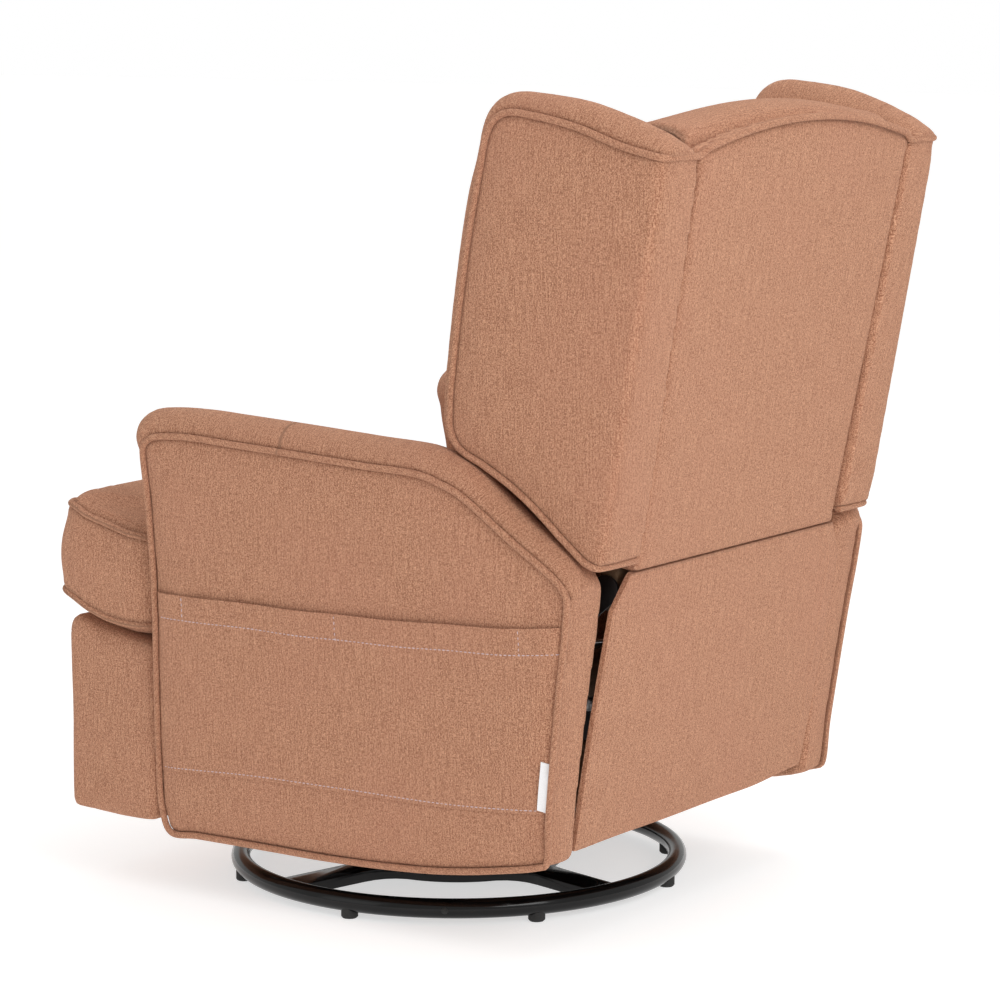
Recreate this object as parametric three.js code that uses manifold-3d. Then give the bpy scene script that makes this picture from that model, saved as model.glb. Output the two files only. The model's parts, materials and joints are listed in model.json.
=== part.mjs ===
// Swivel glider recliner with a wing back, millimetres, +Z up.
// X runs across the chair (+X is the sitter's left), -Y is the front, +Y the back.
// The pieces are laid out from the swivel axis on the floor; the last lines move
// the whole chair so that the middle of its bounding box stands over the origin.

import * as THREE from 'three';
import Module from 'manifold-3d';
import { mergeVertices } from 'three/addons/utils/BufferGeometryUtils.js';

const wasm = await Module();
wasm.setup();

const { cos, sin, PI, abs, min, max, sqrt, asin, hypot } = Math;
const rad = THREE.MathUtils.degToRad;

// Clearances and tool overrun
const gap = 0.3; // between pieces that touch
const runningGap = 1; // between flat links that slide past each other
const overrun = 2; // how far a cutting tool reaches past what it cuts
const weld = 1e-4; // mesh corners closer than this are one

// Base: a steel tube ring on eight feet, a pressed cross and a swivel bearing
const ring = { radius: 293, tubeRadius: 12.7, centreZ: 20.7, around: 72, section: 10 };
const foot = { radius: 11, height: 15, edge: 2, angles: [-41, 7, 55, 104], halves: 2, sides: 12 };
const cross = { angle: -14, halfWidth: 23, height: 14, top: 28, wall: 3, hubRadius: 140, fillet: 42 };
const race = { outer: 78, inner: 22, height: 9.5, groove: 5, grooveRadius: 56, around: 32 };
const raceGap = 0.6;
const bolt = { radius: 8, headRadius: 14, headHeight: 7, nutHeight: 8, sides: 20, flats: 6, thread: 1 };

// Turntable and the four hanging links that let the seat glide
const turntable = { channelY: 80, channelWidth: 40, channelHeight: 20, wall: 3, plateHalfX: 70 };
const glider = {
  pivotY: 100,
  pivotTopZ: 205,
  linkLength: 110,
  linkThick: 6,
  linkHalfWidth: 14,
  uprightX: 166,
  plate: 4,
  lobe: 16,
  pinRadius: 6,
  headRadius: 9,
  headThick: 3.4,
  linkPlay: 3,
};
const glideRail = { halfLength: 150, top: 261.7, flangeWidth: 22, windowZ: 128, windowTop: 236 };
const upright = { bottom: 49, windowZ: 84, windowTop: 182, windowInner: 12, windowOuter: 82 };

// Seat chassis: cross tubes, mechanism side plates and wooden rails
const tube = { size: 25, wall: 2, y: 120 };
const mechanism = { x: 258, plate: 4, bottom: 240, top: 300, front: -190, rear: 352, lobe: 18 };
const baseRail = { thick: 17.4, bottom: 230, top: 300, front: -200, rear: 346, edge: 4 };
const rearRail = { thick: 18, low: 50, high: 130 };
const seatBox = { halfWidth: 233, front: -215, rear: 290, rail: 20, height: 52.7, corner: 12 };
const spring = { count: 4, pitch: 100, wireRadius: 2, swing: 20, waves: 8, steps: 64, sides: 3 };

// Footrest linkage: a pair of folding links on each side and a panel at their end
const footLink = {
  pivotY: -157,
  pivotZ: 325,
  length: 215,
  thick: 5,
  halfWidth: 11,
  pathTilt: -4,
  foldAngle: 80,
  pinRadius: 6,
  headRadius: 10,
  headThick: 3.4,
  driveAt: 90,
  driveRadius: 10,
  play: 2,
};
const footBoard = { halfWidth: 299.7, front: -262, thick: 15, bottom: 112, top: 322, corner: 10 };
const footBracket = { thick: 5, flangeWidth: 28, flangeThick: 3, lowerZ: 205, lobe: 11.5 };
const footPad = { halfWidth: 340, front: -391, rear: -244.5, bottom: 97, top: 356, round: 18 };
// Side outline of the pad, as shares of its depth from the front and of its height
const footPadShares = [
  [0.02, 0.07], [0.06, 0.016], [0.16, 0], [0.97, 0], [1, 0.02], [1, 0.868], [0.975, 0.89],
  [0.85, 0.904], [0.6, 0.925], [0.36, 0.952], [0.17, 0.99], [0.08, 1], [0.02, 0.975], [0, 0.93], [0, 0.12],
];
// Rounding at the pad's two ends: distance from the end and inset, as shares of its radius
const roundedEndShares = [[0, 1], [0.08, 0.5], [0.3, 0.15], [1, 0]];

// Back hinge
const backPivot = { y: 320, z: 390, pinRadius: 8, headRadius: 12, headThick: 3.7, lobe: 18, rootDrop: 43 };

// Arms: outer panel outline, flare and padded top
const arm = {
  inner: 280,
  outer: 333,
  flare: 0.0593,
  front: -237,
  depth: 645,
  bottom: 84,
  height: 525,
  crown: 31,
  rearCrown: 22,
  frontCrown: 12,
  frontRound: 14,
  crownPower: 0.7,
  rearFade: [0.66, 0.9],
  frontFade: [0.8, 0.93],
  stations: 8,
};
const armTop = arm.bottom + arm.height;
// How far the pieces of the back start below the arms' top
const startBelow = { wing: 116, back: 114.4, skirt: 134.5, strap: 189 };
// Outline of the outer panel, as shares of its depth from the front and of its height
const armBottomShares = [
  [0.02, 0],
  [0.228, 0.002],
  [0.462, 0.004],
  [0.691, 0.021],
  [0.878, 0.059],
  [0.935, 0.078],
];
const armRearShares = [
  [0.946, 0.2],
  [0.977, 0.491],
  [0.995, 0.636],
  [1, 0.716],
];
const armTopShares = [
  [0.983, 0.745],
  [0.949, 0.777],
  [0.884, 0.829],
  [0.78, 0.918],
  [0.727, 0.947],
  [0.667, 0.966],
  [0.55, 0.972],
  [0.392, 0.983],
  [0.231, 0.993],
  [0.115, 1],
  [0.03, 0.992],
  [0.003, 0.968],
];
const armFrontShares = [
  [0.008, 0.832],
  [0.012, 0.608],
  [0.005, 0.389],
  [0, 0.179],
  [0.002, 0.057],
];

// Flat pocket and hem panel on each arm, and a blank sewn tag on the left arm
const pocket = { thick: 3, inset: 6, frontTop: 404, rearTop: 423, frontLow: 167, rearLow: 189 };
const tag = { y: 359, z: 193, width: 12, height: 61, lean: 0.13, thick: 0.8 };

// Seat cushion, a T in plan: wide in front of the arms, narrow between them
const cushion = {
  front: -408,
  wingRear: -240,
  rear: 268,
  wideHalf: 341,
  narrowHalf: 271,
  innerCorner: 14,
  rearCorner: 40,
  lowFront: 391,
  topFront: 500,
};
// Half of the front part's plan, from the front middle to the ear's rear: half-width share
// and depth share along the upper seam, then along the lower seam, whose corner is squarer
const earShares = [
  [[0.3, 0], [0.3, 0]],
  [[0.6, 0.012], [0.64, 0]],
  [[0.78, 0.035], [0.83, 0.012]],
  [[0.895, 0.09], [0.925, 0.042]],
  [[0.964, 0.185], [0.98, 0.12]],
  [[0.996, 0.333], [1, 0.25]],
  [[1, 0.57], [1, 0.57]],
  [[0.998, 0.86], [0.998, 0.86]],
  [[0.975, 0.97], [0.975, 0.97]],
  [[0.93, 1], [0.93, 1]],
];
// Drop of the upper and the lower seam below their height at the front, by depth from there
const seamDrops = [
  [0, 0, 0],
  [29, 0, 7],
  [57, 9, 22],
  [90, 19, 32],
  [122, 27, 36],
  [169, 35, 36.5],
  [260, 35, 36],
  [676, 48, 36],
];
// Padding from the bottom up: inset from the seam outline, height share between the seams,
// and lift beyond the seam
const padRings = [
  [44, 0, -9.5],
  [12, 0, -6],
  [0, 0, 0],
  [-4, 0.3, 0],
  [-4, 0.7, 0],
  [0, 1, 0],
  [9, 1, 10],
  [24, 1, 18],
  [55, 1, 23],
  [100, 1, 25],
];

// Back: everything leans with the rear panel
const back = { y: 434, z: armTop - startBelow.back, slope: 0.1951 };
const backPanel = {
  thick: 22,
  low: -20,
  high: 530,
  arch: 33,
  bevel: 5,
  clearance: 0.5,
  skirtInset: 4,
  arcSteps: 12,
};
const backBoard = {
  thick: 25,
  halfWidth: 240,
  low: -84,
  belowTop: 50,
  corner: 30,
  holeRadius: 44,
  holeRows: 4,
  holeColumns: 3,
};
const backCushion = { depth: 285, rise: 9, round: 14, squareness: 14, clearance: 1.5, stations: 14 };
// Side outline of the cushion, as shares of its depth from the rear panel and of its height
const backCushionShares = [
  [0.861, -0.031],
  [0.946, 0.026],
  [0.994, 0.115],
  [1, 0.247],
  [0.94, 0.399],
  [0.832, 0.557],
  [0.754, 0.705],
  [0.632, 0.816],
  [0.509, 0.909],
  [0.421, 0.955],
  [0.333, 0.985],
  [0.253, 0.998],
  [0.175, 1],
  [0.119, 0.993],
];

// Wings: outer panel outline and padded edge
const wing = {
  outerLow: 328,
  outerHigh: 333,
  innerLow: 244.5,
  innerHigh: 258.5,
  frontTaper: 26,
  front: 222,
  depth: 305,
  bottom: armTop - startBelow.wing,
  height: 533,
  crownPower: 0.7,
  crown: 21,
  frontCrown: 11,
  bottomCrown: 2,
  stations: 8,
};
const wingShares = [
  [0.741, 0.008],
  [0.699, 0],
  [0.633, 0.013],
  [0.538, 0.054],
  [0.407, 0.118],
  [0.292, 0.165],
  [0.164, 0.206],
  [0.046, 0.24],
  [0.003, 0.278],
  [0, 0.341],
  [0.023, 0.458],
  [0.056, 0.591],
  [0.098, 0.732],
  [0.148, 0.863],
  [0.187, 0.955],
  [0.23, 0.987],
  [0.292, 1],
  [0.403, 0.994],
  [0.597, 0.972],
  [0.813, 0.932],
  [1, 0.908],
];

// Lower back flap
const skirt = {
  bottomY: 368,
  bottomZ: 130,
  topY: back.y - backPanel.skirtInset,
  topZ: armTop - startBelow.skirt,
  thick: 12,
  halfWidth: 274,
};
const skirtTop = { halfWidth: 246, taper: 44 };

// Release strap beside the seat, right arm
const strap = {
  y: -135,
  low: armTop - startBelow.strap,
  height: 140,
  width: 30,
  thick: 3.6,
  grip: 16,
  gripThick: 6.4,
};

// Materials
const paint = new THREE.MeshStandardMaterial({ color: 0x0d0d0e, roughness: 0.22, metalness: 0.6 });
const steel = new THREE.MeshStandardMaterial({ color: 0x2a2b2d, roughness: 0.45, metalness: 0.85 });
const zinc = new THREE.MeshStandardMaterial({ color: 0xa9abad, roughness: 0.35, metalness: 0.9 });
const rubber = new THREE.MeshStandardMaterial({ color: 0x141414, roughness: 0.8, metalness: 0 });
const timber = new THREE.MeshStandardMaterial({ color: 0xc39a6b, roughness: 0.7, metalness: 0 });
const cloth = new THREE.MeshStandardMaterial({ color: 0xb58269, roughness: 0.95, metalness: 0 });
const label = new THREE.MeshStandardMaterial({ color: 0xf1f0ee, roughness: 0.8, metalness: 0 });

const chair = new THREE.Group();

function place(name, geometry, material, group = chair) {
  geometry.deleteAttribute('uv');
  geometry.computeVertexNormals();
  const mesh = new THREE.Mesh(geometry, material);
  mesh.name = name;
  group.add(mesh);
  return mesh;
}

// Solids from closed meshes, and back
function solidOf(geometry) {
  const bare = geometry.clone();
  bare.deleteAttribute('normal');
  bare.deleteAttribute('uv');
  const merged = mergeVertices(bare, weld);
  return new wasm.Manifold(new wasm.Mesh({
    numProp: 3,
    vertProperties: new Float32Array(merged.attributes.position.array),
    triVerts: new Uint32Array(merged.index.array),
  }));
}

function geometryOf(solid) {
  const mesh = solid.getMesh();
  const geometry = new THREE.BufferGeometry();
  geometry.setAttribute('position', new THREE.BufferAttribute(mesh.vertProperties, 3));
  geometry.setIndex(new THREE.BufferAttribute(mesh.triVerts, 1));
  return geometry;
}

function join(...geometries) {
  return geometryOf(geometries.map(solidOf).reduce((whole, next) => whole.add(next)));
}

function cut(geometry, ...tools) {
  return geometryOf(tools.map(solidOf).reduce((whole, tool) => whole.subtract(tool), solidOf(geometry)));
}

// Turns every face outwards when the enclosed volume comes out negative
function facesOut(geometry) {
  const corners = geometry.attributes.position;
  const index = geometry.index.array;
  const [a, b, c] = [new THREE.Vector3(), new THREE.Vector3(), new THREE.Vector3()];
  let volume = 0;
  for (let i = 0; i < index.length; i += 3) {
    a.fromBufferAttribute(corners, index[i]);
    b.fromBufferAttribute(corners, index[i + 1]);
    c.fromBufferAttribute(corners, index[i + 2]);
    volume += a.dot(b.cross(c));
  }
  if (volume < 0) {
    for (let i = 0; i < index.length; i += 3) {
      [index[i + 1], index[i + 2]] = [index[i + 2], index[i + 1]];
    }
  }
  return geometry;
}

// Closed skin through rings of equally many points, flat caps on the first and last ring
function loft(rings, flatten) {
  const count = rings[0].length;
  const index = [];
  for (let r = 0; r + 1 < rings.length; r += 1) {
    for (let k = 0; k < count; k += 1) {
      const here = r * count + k;
      const next = r * count + (k + 1) % count;
      index.push(here, next, next + count, here, next + count, here + count);
    }
  }
  const cap = (ringPoints, start, turn) => {
    const outline = ringPoints.map(flatten);
    const way = THREE.ShapeUtils.area(outline) * turn;
    for (const [i, j, k] of THREE.ShapeUtils.triangulateShape(outline, [])) {
      const facing = THREE.ShapeUtils.area([outline[i], outline[j], outline[k]]) * way;
      index.push(start + i, start + (facing > 0 ? j : k), start + (facing > 0 ? k : j));
    }
  };
  cap(rings[0], 0, -1);
  cap(rings[rings.length - 1], (rings.length - 1) * count, 1);
  const geometry = new THREE.BufferGeometry();
  const points = rings.flat().flatMap((point) => [point.x, point.y, point.z]);
  geometry.setAttribute('position', new THREE.Float32BufferAttribute(points, 3));
  geometry.setIndex(index);
  return facesOut(geometry);
}

const sideView = (point) => new THREE.Vector2(point.y, point.z);
const frontView = (point) => new THREE.Vector2(point.x, point.z);
const planView = (point) => new THREE.Vector2(point.x, point.y);

// Outline points moved along their own outward normals, outlines running anticlockwise
function swollen(outline, amount) {
  return outline.map((point, i) => {
    const before = outline[(i + outline.length - 1) % outline.length];
    const after = outline[(i + 1) % outline.length];
    const along = after.clone().sub(before).normalize();
    const normal = new THREE.Vector2(along.y, -along.x);
    return point.clone().addScaledVector(normal, amount(point, normal));
  });
}

// Outline drawn in evenly on every side towards the middle of its box
function drawnIn(outline, inset) {
  const box = new THREE.Box2().setFromPoints(outline);
  const middle = box.getCenter(new THREE.Vector2());
  const half = box.getSize(new THREE.Vector2()).multiplyScalar(0.5);
  const scale = new THREE.Vector2(1 - inset / half.x, 1 - inset / half.y);
  return outline.map((point) => point.clone().sub(middle).multiply(scale).add(middle));
}

// Flat plate: a side-view outline (Y, Z) extruded from x0 to x1 on either side of the chair
const toSide = new THREE.Matrix4().makeBasis(
  new THREE.Vector3(0, 1, 0),
  new THREE.Vector3(0, 0, 1),
  new THREE.Vector3(1, 0, 0),
);

function sidePlate(shape, x0, x1, segments = 6) {
  const geometry = new THREE.ExtrudeGeometry(shape, {
    depth: abs(x1 - x0), bevelEnabled: false, curveSegments: segments,
  });
  geometry.applyMatrix4(toSide);
  return geometry.translate(min(x0, x1), 0, 0);
}

function block(x0, x1, y0, y1, z0, z1) {
  const geometry = new THREE.BoxGeometry(abs(x1 - x0), y1 - y0, z1 - z0);
  return geometry.translate((x0 + x1) / 2, (y0 + y1) / 2, (z0 + z1) / 2);
}

// Round pin along X
function pin(radius, x0, x1, y, z, sides = 14) {
  const geometry = new THREE.CylinderGeometry(radius, radius, abs(x1 - x0), sides);
  return geometry.rotateZ(PI / 2).translate((x0 + x1) / 2, y, z);
}

// Round piece standing on Z
function disc(radius, z0, z1, sides = 20) {
  const geometry = new THREE.CylinderGeometry(radius, radius, z1 - z0, sides);
  return geometry.rotateX(PI / 2).translate(0, 0, (z0 + z1) / 2);
}

// Bar with round ends between two side-view points
function barShape(a, b, radius) {
  const turn = b.clone().sub(a).angle();
  const shape = new THREE.Shape();
  shape.absarc(b.x, b.y, radius, turn - PI / 2, turn + PI / 2, false);
  shape.absarc(a.x, a.y, radius, turn + PI / 2, turn + PI * 1.5, false);
  shape.closePath();
  return shape;
}

function roundHole(centre, radius) {
  const hole = new THREE.Path();
  hole.absarc(centre.x, centre.y, radius, 0, PI * 2, true);
  return hole;
}

function polygonPath(points) {
  return new THREE.Path(points.map(([x, y]) => new THREE.Vector2(x, y)));
}

// Side plate with one three-cornered window cut on each side of the middle
function windowedPlate(shape, x0, x1, corners) {
  const low = min(x0, x1) - overrun;
  const high = max(x0, x1) + overrun;
  const windows = [-1, 1].map((way) => {
    const outline = new THREE.Shape(corners.map(([y, z]) => new THREE.Vector2(way * y, z)));
    return sidePlate(outline, low, high);
  });
  return cut(sidePlate(shape, x0, x1), ...windows);
}

// Rectangle with round corners
function roundedBox(x0, x1, y0, y1, corner) {
  const shape = new THREE.Shape();
  shape.absarc(x1 - corner, y0 + corner, corner, -PI / 2, 0, false);
  shape.absarc(x1 - corner, y1 - corner, corner, 0, PI / 2, false);
  shape.absarc(x0 + corner, y1 - corner, corner, PI / 2, PI, false);
  shape.absarc(x0 + corner, y0 + corner, corner, PI, PI * 1.5, false);
  shape.closePath();
  return shape;
}

// Base ring, cross, feet and swivel bearing
function buildBase() {
  const torus = (tubeRadius) => new THREE.TorusGeometry(
    ring.radius, tubeRadius, ring.section, ring.around,
  ).translate(0, 0, ring.centreZ);
  place('base_ring', torus(ring.tubeRadius), paint);

  const outer = crossShape(cross.halfWidth, cross.hubRadius, ring.radius);
  const inner = crossShape(
    cross.halfWidth - cross.wall,
    cross.hubRadius - cross.wall,
    ring.radius + overrun
  );
  const pressed = extrudeUp(outer, cross.top - cross.height, cross.top);
  const hollow = extrudeUp(inner, cross.top - cross.height - overrun, cross.top - cross.wall);
  const bore = disc(bolt.radius + gap, cross.top - cross.height - overrun, cross.top + overrun, bolt.sides);
  place('base_cross', cut(pressed, hollow, bore, torus(ring.tubeRadius + gap)), paint);

  let number = 1;
  for (let half = 0; half < foot.halves; half += 1) {
    for (const angle of foot.angles) {
      const turn = rad(angle) + half * PI;
      const profile = [
        new THREE.Vector2(0, 0),
        new THREE.Vector2(foot.radius - foot.edge, 0),
        new THREE.Vector2(foot.radius, foot.edge),
        new THREE.Vector2(foot.radius, foot.height),
        new THREE.Vector2(0, foot.height),
      ];
      const pad = new THREE.LatheGeometry(profile, foot.sides).rotateX(PI / 2);
      pad.translate(ring.radius * cos(turn), ring.radius * sin(turn), 0);
      place(`base_foot_${number}`, cut(pad, torus(ring.tubeRadius + gap)), rubber);
      number += 1;
    }
  }

  const lowerBase = cross.top + gap;
  const lowerTop = lowerBase + race.height;
  const upperBase = lowerTop + raceGap;
  const upperTop = upperBase + race.height;
  place('swivel_race_lower', raceRing(lowerBase, lowerTop, lowerTop), steel);
  place('swivel_race_upper', raceRing(upperBase, upperTop, upperBase), steel);
  const frameBase = upperTop + gap;
  const nutBase = frameBase + turntable.wall + gap;
  const headTop = cross.top - cross.wall - gap;
  const headBase = headTop - bolt.headHeight;
  const shank = disc(bolt.radius, headBase, nutBase + bolt.nutHeight + bolt.thread, bolt.sides);
  place('pivot_bolt', join(shank, disc(bolt.headRadius, headBase, headTop, bolt.flats)), zinc);
  const nut = disc(bolt.headRadius, nutBase, nutBase + bolt.nutHeight, bolt.flats);
  const thread = disc(bolt.radius + gap, nutBase - overrun, nutBase + bolt.nutHeight + overrun, bolt.sides);
  place('pivot_nut', cut(nut, thread), zinc);
  return frameBase;
}

function extrudeUp(shape, z0, z1) {
  const geometry = new THREE.ExtrudeGeometry(shape, {
    depth: z1 - z0, bevelEnabled: false, curveSegments: 5,
  });
  return geometry.translate(0, 0, z0);
}

// Four arms that run into a round hub with fillets
function crossShape(half, hub, tip) {
  const shape = new THREE.Shape();
  const at = (turn, u, v) => [u * cos(turn) - v * sin(turn), u * sin(turn) + v * cos(turn)];
  const spread = asin(half / hub) + cross.fillet / hub;
  const root = sqrt(hub * hub - half * half);
  for (let k = 0; k < 4; k += 1) {
    const turn = rad(cross.angle) + k * PI / 2;
    const next = turn + PI / 2;
    if (k === 0) shape.moveTo(...at(turn, hub + cross.fillet, -half));
    shape.lineTo(...at(turn, tip, -half));
    shape.lineTo(...at(turn, tip, half));
    shape.lineTo(...at(turn, hub + cross.fillet, half));
    shape.quadraticCurveTo(...at(turn, root, half), hub * cos(turn + spread), hub * sin(turn + spread));
    shape.absarc(0, 0, hub, turn + spread, next - spread, false);
    shape.quadraticCurveTo(...at(next, root, -half), ...at(next, hub + cross.fillet, -half));
  }
  return shape;
}

// Bearing race: a flat ring with a ball groove in the face at grooveZ
function raceRing(z0, z1, grooveZ) {
  const profile = [
    [race.inner, z0],
    [race.outer, z0],
    [race.outer, z1],
    [race.inner, z1],
    [race.inner, z0],
  ].map(([r, z]) => new THREE.Vector2(r, z));
  const body = new THREE.LatheGeometry(profile, race.around).rotateX(PI / 2);
  const groove = new THREE.TorusGeometry(race.grooveRadius, race.groove, 6, race.around);
  return cut(body, groove.translate(0, 0, grooveZ));
}

// Turntable frame and the uprights with the upper pivots
function buildTurntable(z) {
  const half = glider.uprightX - gap;
  const channel = (way) => {
    const y0 = way * turntable.channelY - turntable.channelWidth / 2;
    const y1 = y0 + turntable.channelWidth;
    const top = z + turntable.channelHeight;
    const outside = block(-half, half, y0, y1, z, top);
    const inside = block(-half - overrun, half + overrun, y0 + turntable.wall, y1 - turntable.wall,
      z - overrun, top - turntable.wall);
    return cut(outside, inside);
  };
  const reach = turntable.channelY + turntable.channelWidth / 2;
  const plate = block(-turntable.plateHalfX, turntable.plateHalfX, -reach, reach, z, z + turntable.wall);
  const bore = disc(bolt.radius + gap, z - overrun, z + turntable.wall + overrun, bolt.sides);
  place('turntable_frame', cut(join(channel(-1), channel(1), plate), bore), paint);

  for (const [name, side] of [['left', 1], ['right', -1]]) {
    const edge = glider.pivotY + glider.lobe;
    const shape = new THREE.Shape();
    shape.moveTo(-edge, upright.bottom);
    shape.lineTo(edge, upright.bottom);
    shape.absarc(glider.pivotY, glider.pivotTopZ, glider.lobe, 0, PI / 2, false);
    shape.absarc(-glider.pivotY, glider.pivotTopZ, glider.lobe, PI / 2, PI, false);
    shape.closePath();
    for (const way of [-1, 1]) {
      shape.holes.push(roundHole({ x: way * glider.pivotY, y: glider.pivotTopZ }, glider.pinRadius + gap));
    }
    const x = side * glider.uprightX;
    place(`glider_upright_${name}`, windowedPlate(shape, x, x + side * glider.plate, [
      [upright.windowInner, upright.windowZ],
      [upright.windowInner, upright.windowTop],
      [upright.windowOuter, upright.windowZ],
    ]), steel);
  }
}

// Hanging link with a pin and head at the top, inwards, and at the bottom, outwards
function buildGliderLinks() {
  const linkX = glider.uprightX + glider.plate + glider.linkPlay;
  const lowZ = glider.pivotTopZ - glider.linkLength;
  for (const [name, side] of [['left', 1], ['right', -1]]) {
    for (const [end, way] of [['front', -1], ['rear', 1]]) {
      const y = way * glider.pivotY;
      const shape = barShape(
        new THREE.Vector2(y, glider.pivotTopZ), new THREE.Vector2(y, lowZ), glider.linkHalfWidth,
      );
      const x1 = linkX + glider.linkThick;
      const topEnd = glider.uprightX - gap - glider.headThick;
      const lowEnd = railX() + glider.plate + gap + glider.headThick;
      place(`glider_link_${end}_${name}`, join(
        sidePlate(shape, side * linkX, side * x1),
        pin(glider.pinRadius, side * topEnd, side * (linkX + gap), y, glider.pivotTopZ),
        pin(glider.headRadius, side * topEnd, side * (topEnd + glider.headThick), y, glider.pivotTopZ),
        pin(glider.pinRadius, side * (x1 - gap), side * lowEnd, y, lowZ),
        pin(glider.headRadius, side * (lowEnd - glider.headThick), side * lowEnd, y, lowZ),
      ), zinc);
    }
  }
}

function railX() {
  return glider.uprightX + glider.plate + glider.linkPlay + glider.linkThick + glider.plate;
}

// Seat chassis: glide rails, cross tubes, mechanism plates and wooden rails
function buildChassis() {
  const lowZ = glider.pivotTopZ - glider.linkLength;
  const x0 = railX();
  const lobe = glider.lobe;
  for (const [name, side] of [['left', 1], ['right', -1]]) {
    const shape = new THREE.Shape();
    shape.absarc(-glider.pivotY, lowZ, lobe, PI, PI * 1.5, false);
    shape.absarc(glider.pivotY, lowZ, lobe, -PI / 2, 0, false);
    shape.lineTo(glideRail.halfLength, glideRail.windowTop);
    shape.lineTo(glideRail.halfLength, glideRail.top);
    shape.lineTo(-glideRail.halfLength, glideRail.top);
    shape.lineTo(-glideRail.halfLength, glideRail.windowTop);
    shape.closePath();
    for (const way of [-1, 1]) {
      shape.holes.push(roundHole({ x: way * glider.pivotY, y: lowZ }, glider.pinRadius + gap));
    }
    const web = windowedPlate(shape, side * x0, side * (x0 + glider.plate), [
      [lobe, glideRail.windowTop],
      [lobe, glideRail.windowZ],
      [glider.pivotY - lobe / 2, glideRail.windowTop],
    ]);
    const flange = block(
      side * x0, side * (x0 + glideRail.flangeWidth),
      -glideRail.halfLength, glideRail.halfLength, glideRail.top - glider.plate, glideRail.top,
    );
    place(`glider_rail_${name}`, join(web, flange), paint);
  }

  const tubeBase = glideRail.top + gap;
  for (const [name, way] of [['front', -1], ['rear', 1]]) {
    const y = way * tube.y;
    const half = tube.size / 2;
    const reach = mechanism.x - gap;
    const outside = block(-reach, reach, y - half, y + half, tubeBase, tubeBase + tube.size);
    const inside = block(-reach - overrun, reach + overrun, y - half + tube.wall, y + half - tube.wall,
      tubeBase + tube.wall, tubeBase + tube.size - tube.wall);
    place(`chassis_tube_${name}`, cut(outside, inside), paint);
  }

  for (const [name, side] of [['left', 1], ['right', -1]]) {
    const shape = new THREE.Shape();
    const lobe = mechanism.lobe;
    shape.moveTo(mechanism.front + lobe, mechanism.bottom);
    shape.lineTo(mechanism.rear - lobe, mechanism.bottom);
    shape.absarc(mechanism.rear - lobe, mechanism.bottom + lobe, lobe, -PI / 2, 0, false);
    shape.lineTo(backPivot.y + lobe, backPivot.z);
    shape.absarc(backPivot.y, backPivot.z, lobe, 0, PI, false);
    shape.lineTo(backPivot.y - lobe * 2, mechanism.top);
    shape.lineTo(footLink.pivotY + lobe * 2, mechanism.top);
    shape.lineTo(footLink.pivotY + lobe, footLink.pivotZ);
    shape.absarc(footLink.pivotY, footLink.pivotZ, lobe, 0, PI, false);
    shape.absarc(mechanism.front + lobe, mechanism.bottom + lobe, lobe, PI, PI * 1.5, false);
    shape.closePath();
    shape.holes.push(roundHole({ x: backPivot.y, y: backPivot.z }, backPivot.pinRadius + gap));
    shape.holes.push(roundHole({ x: footLink.pivotY, y: footLink.pivotZ }, footLink.pinRadius + gap));
    const x = side * mechanism.x;
    place(`mechanism_plate_${name}`, sidePlate(shape, x, x + side * mechanism.plate), steel);

    const railInner = mechanism.x + mechanism.plate + gap;
    const { front, rear, bottom, top } = baseRail;
    const railShape = roundedBox(front, rear, bottom, top, baseRail.edge);
    const railOuter = railInner + baseRail.thick;
    place(`base_rail_${name}`, sidePlate(railShape, side * railInner, side * railOuter, 3), timber);
  }
  return tubeBase + tube.size + gap;
}

// Wooden seat box with sinuous springs across its top
function buildSeatBox(z) {
  const top = z + seatBox.height;
  const outline = roundedBox(
    -seatBox.halfWidth, seatBox.halfWidth, seatBox.front, seatBox.rear, seatBox.corner,
  );
  const rail = seatBox.rail;
  outline.holes.push(polygonPath([
    [-seatBox.halfWidth + rail, seatBox.front + rail],
    [-seatBox.halfWidth + rail, seatBox.rear - rail],
    [seatBox.halfWidth - rail, seatBox.rear - rail],
    [seatBox.halfWidth - rail, seatBox.front + rail],
  ]));
  place('seat_box', extrudeUp(outline, z, top), timber);

  const start = seatBox.front + rail / 2;
  const length = seatBox.rear - seatBox.front - rail;
  const wireZ = top + gap + spring.wireRadius;
  const wire = new THREE.Shape();
  wire.absarc(0, 0, spring.wireRadius, 0, PI * 2, false);
  for (let k = 0; k < spring.count; k += 1) {
    const x = (k - (spring.count - 1) / 2) * spring.pitch;
    const points = [];
    for (let i = 0; i <= spring.steps; i += 1) {
      const share = i / spring.steps;
      const swing = spring.swing * sin(share * spring.waves * PI * 2);
      points.push(new THREE.Vector3(x + swing, start + length * share, wireZ));
    }
    const path = new THREE.CatmullRomCurve3(points);
    const geometry = new THREE.ExtrudeGeometry(wire, {
      steps: spring.steps, curveSegments: spring.sides, extrudePath: path, bevelEnabled: false,
    });
    place(`seat_spring_${k + 1}`, geometryOf(solidOf(geometry)), zinc);
  }
}

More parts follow.
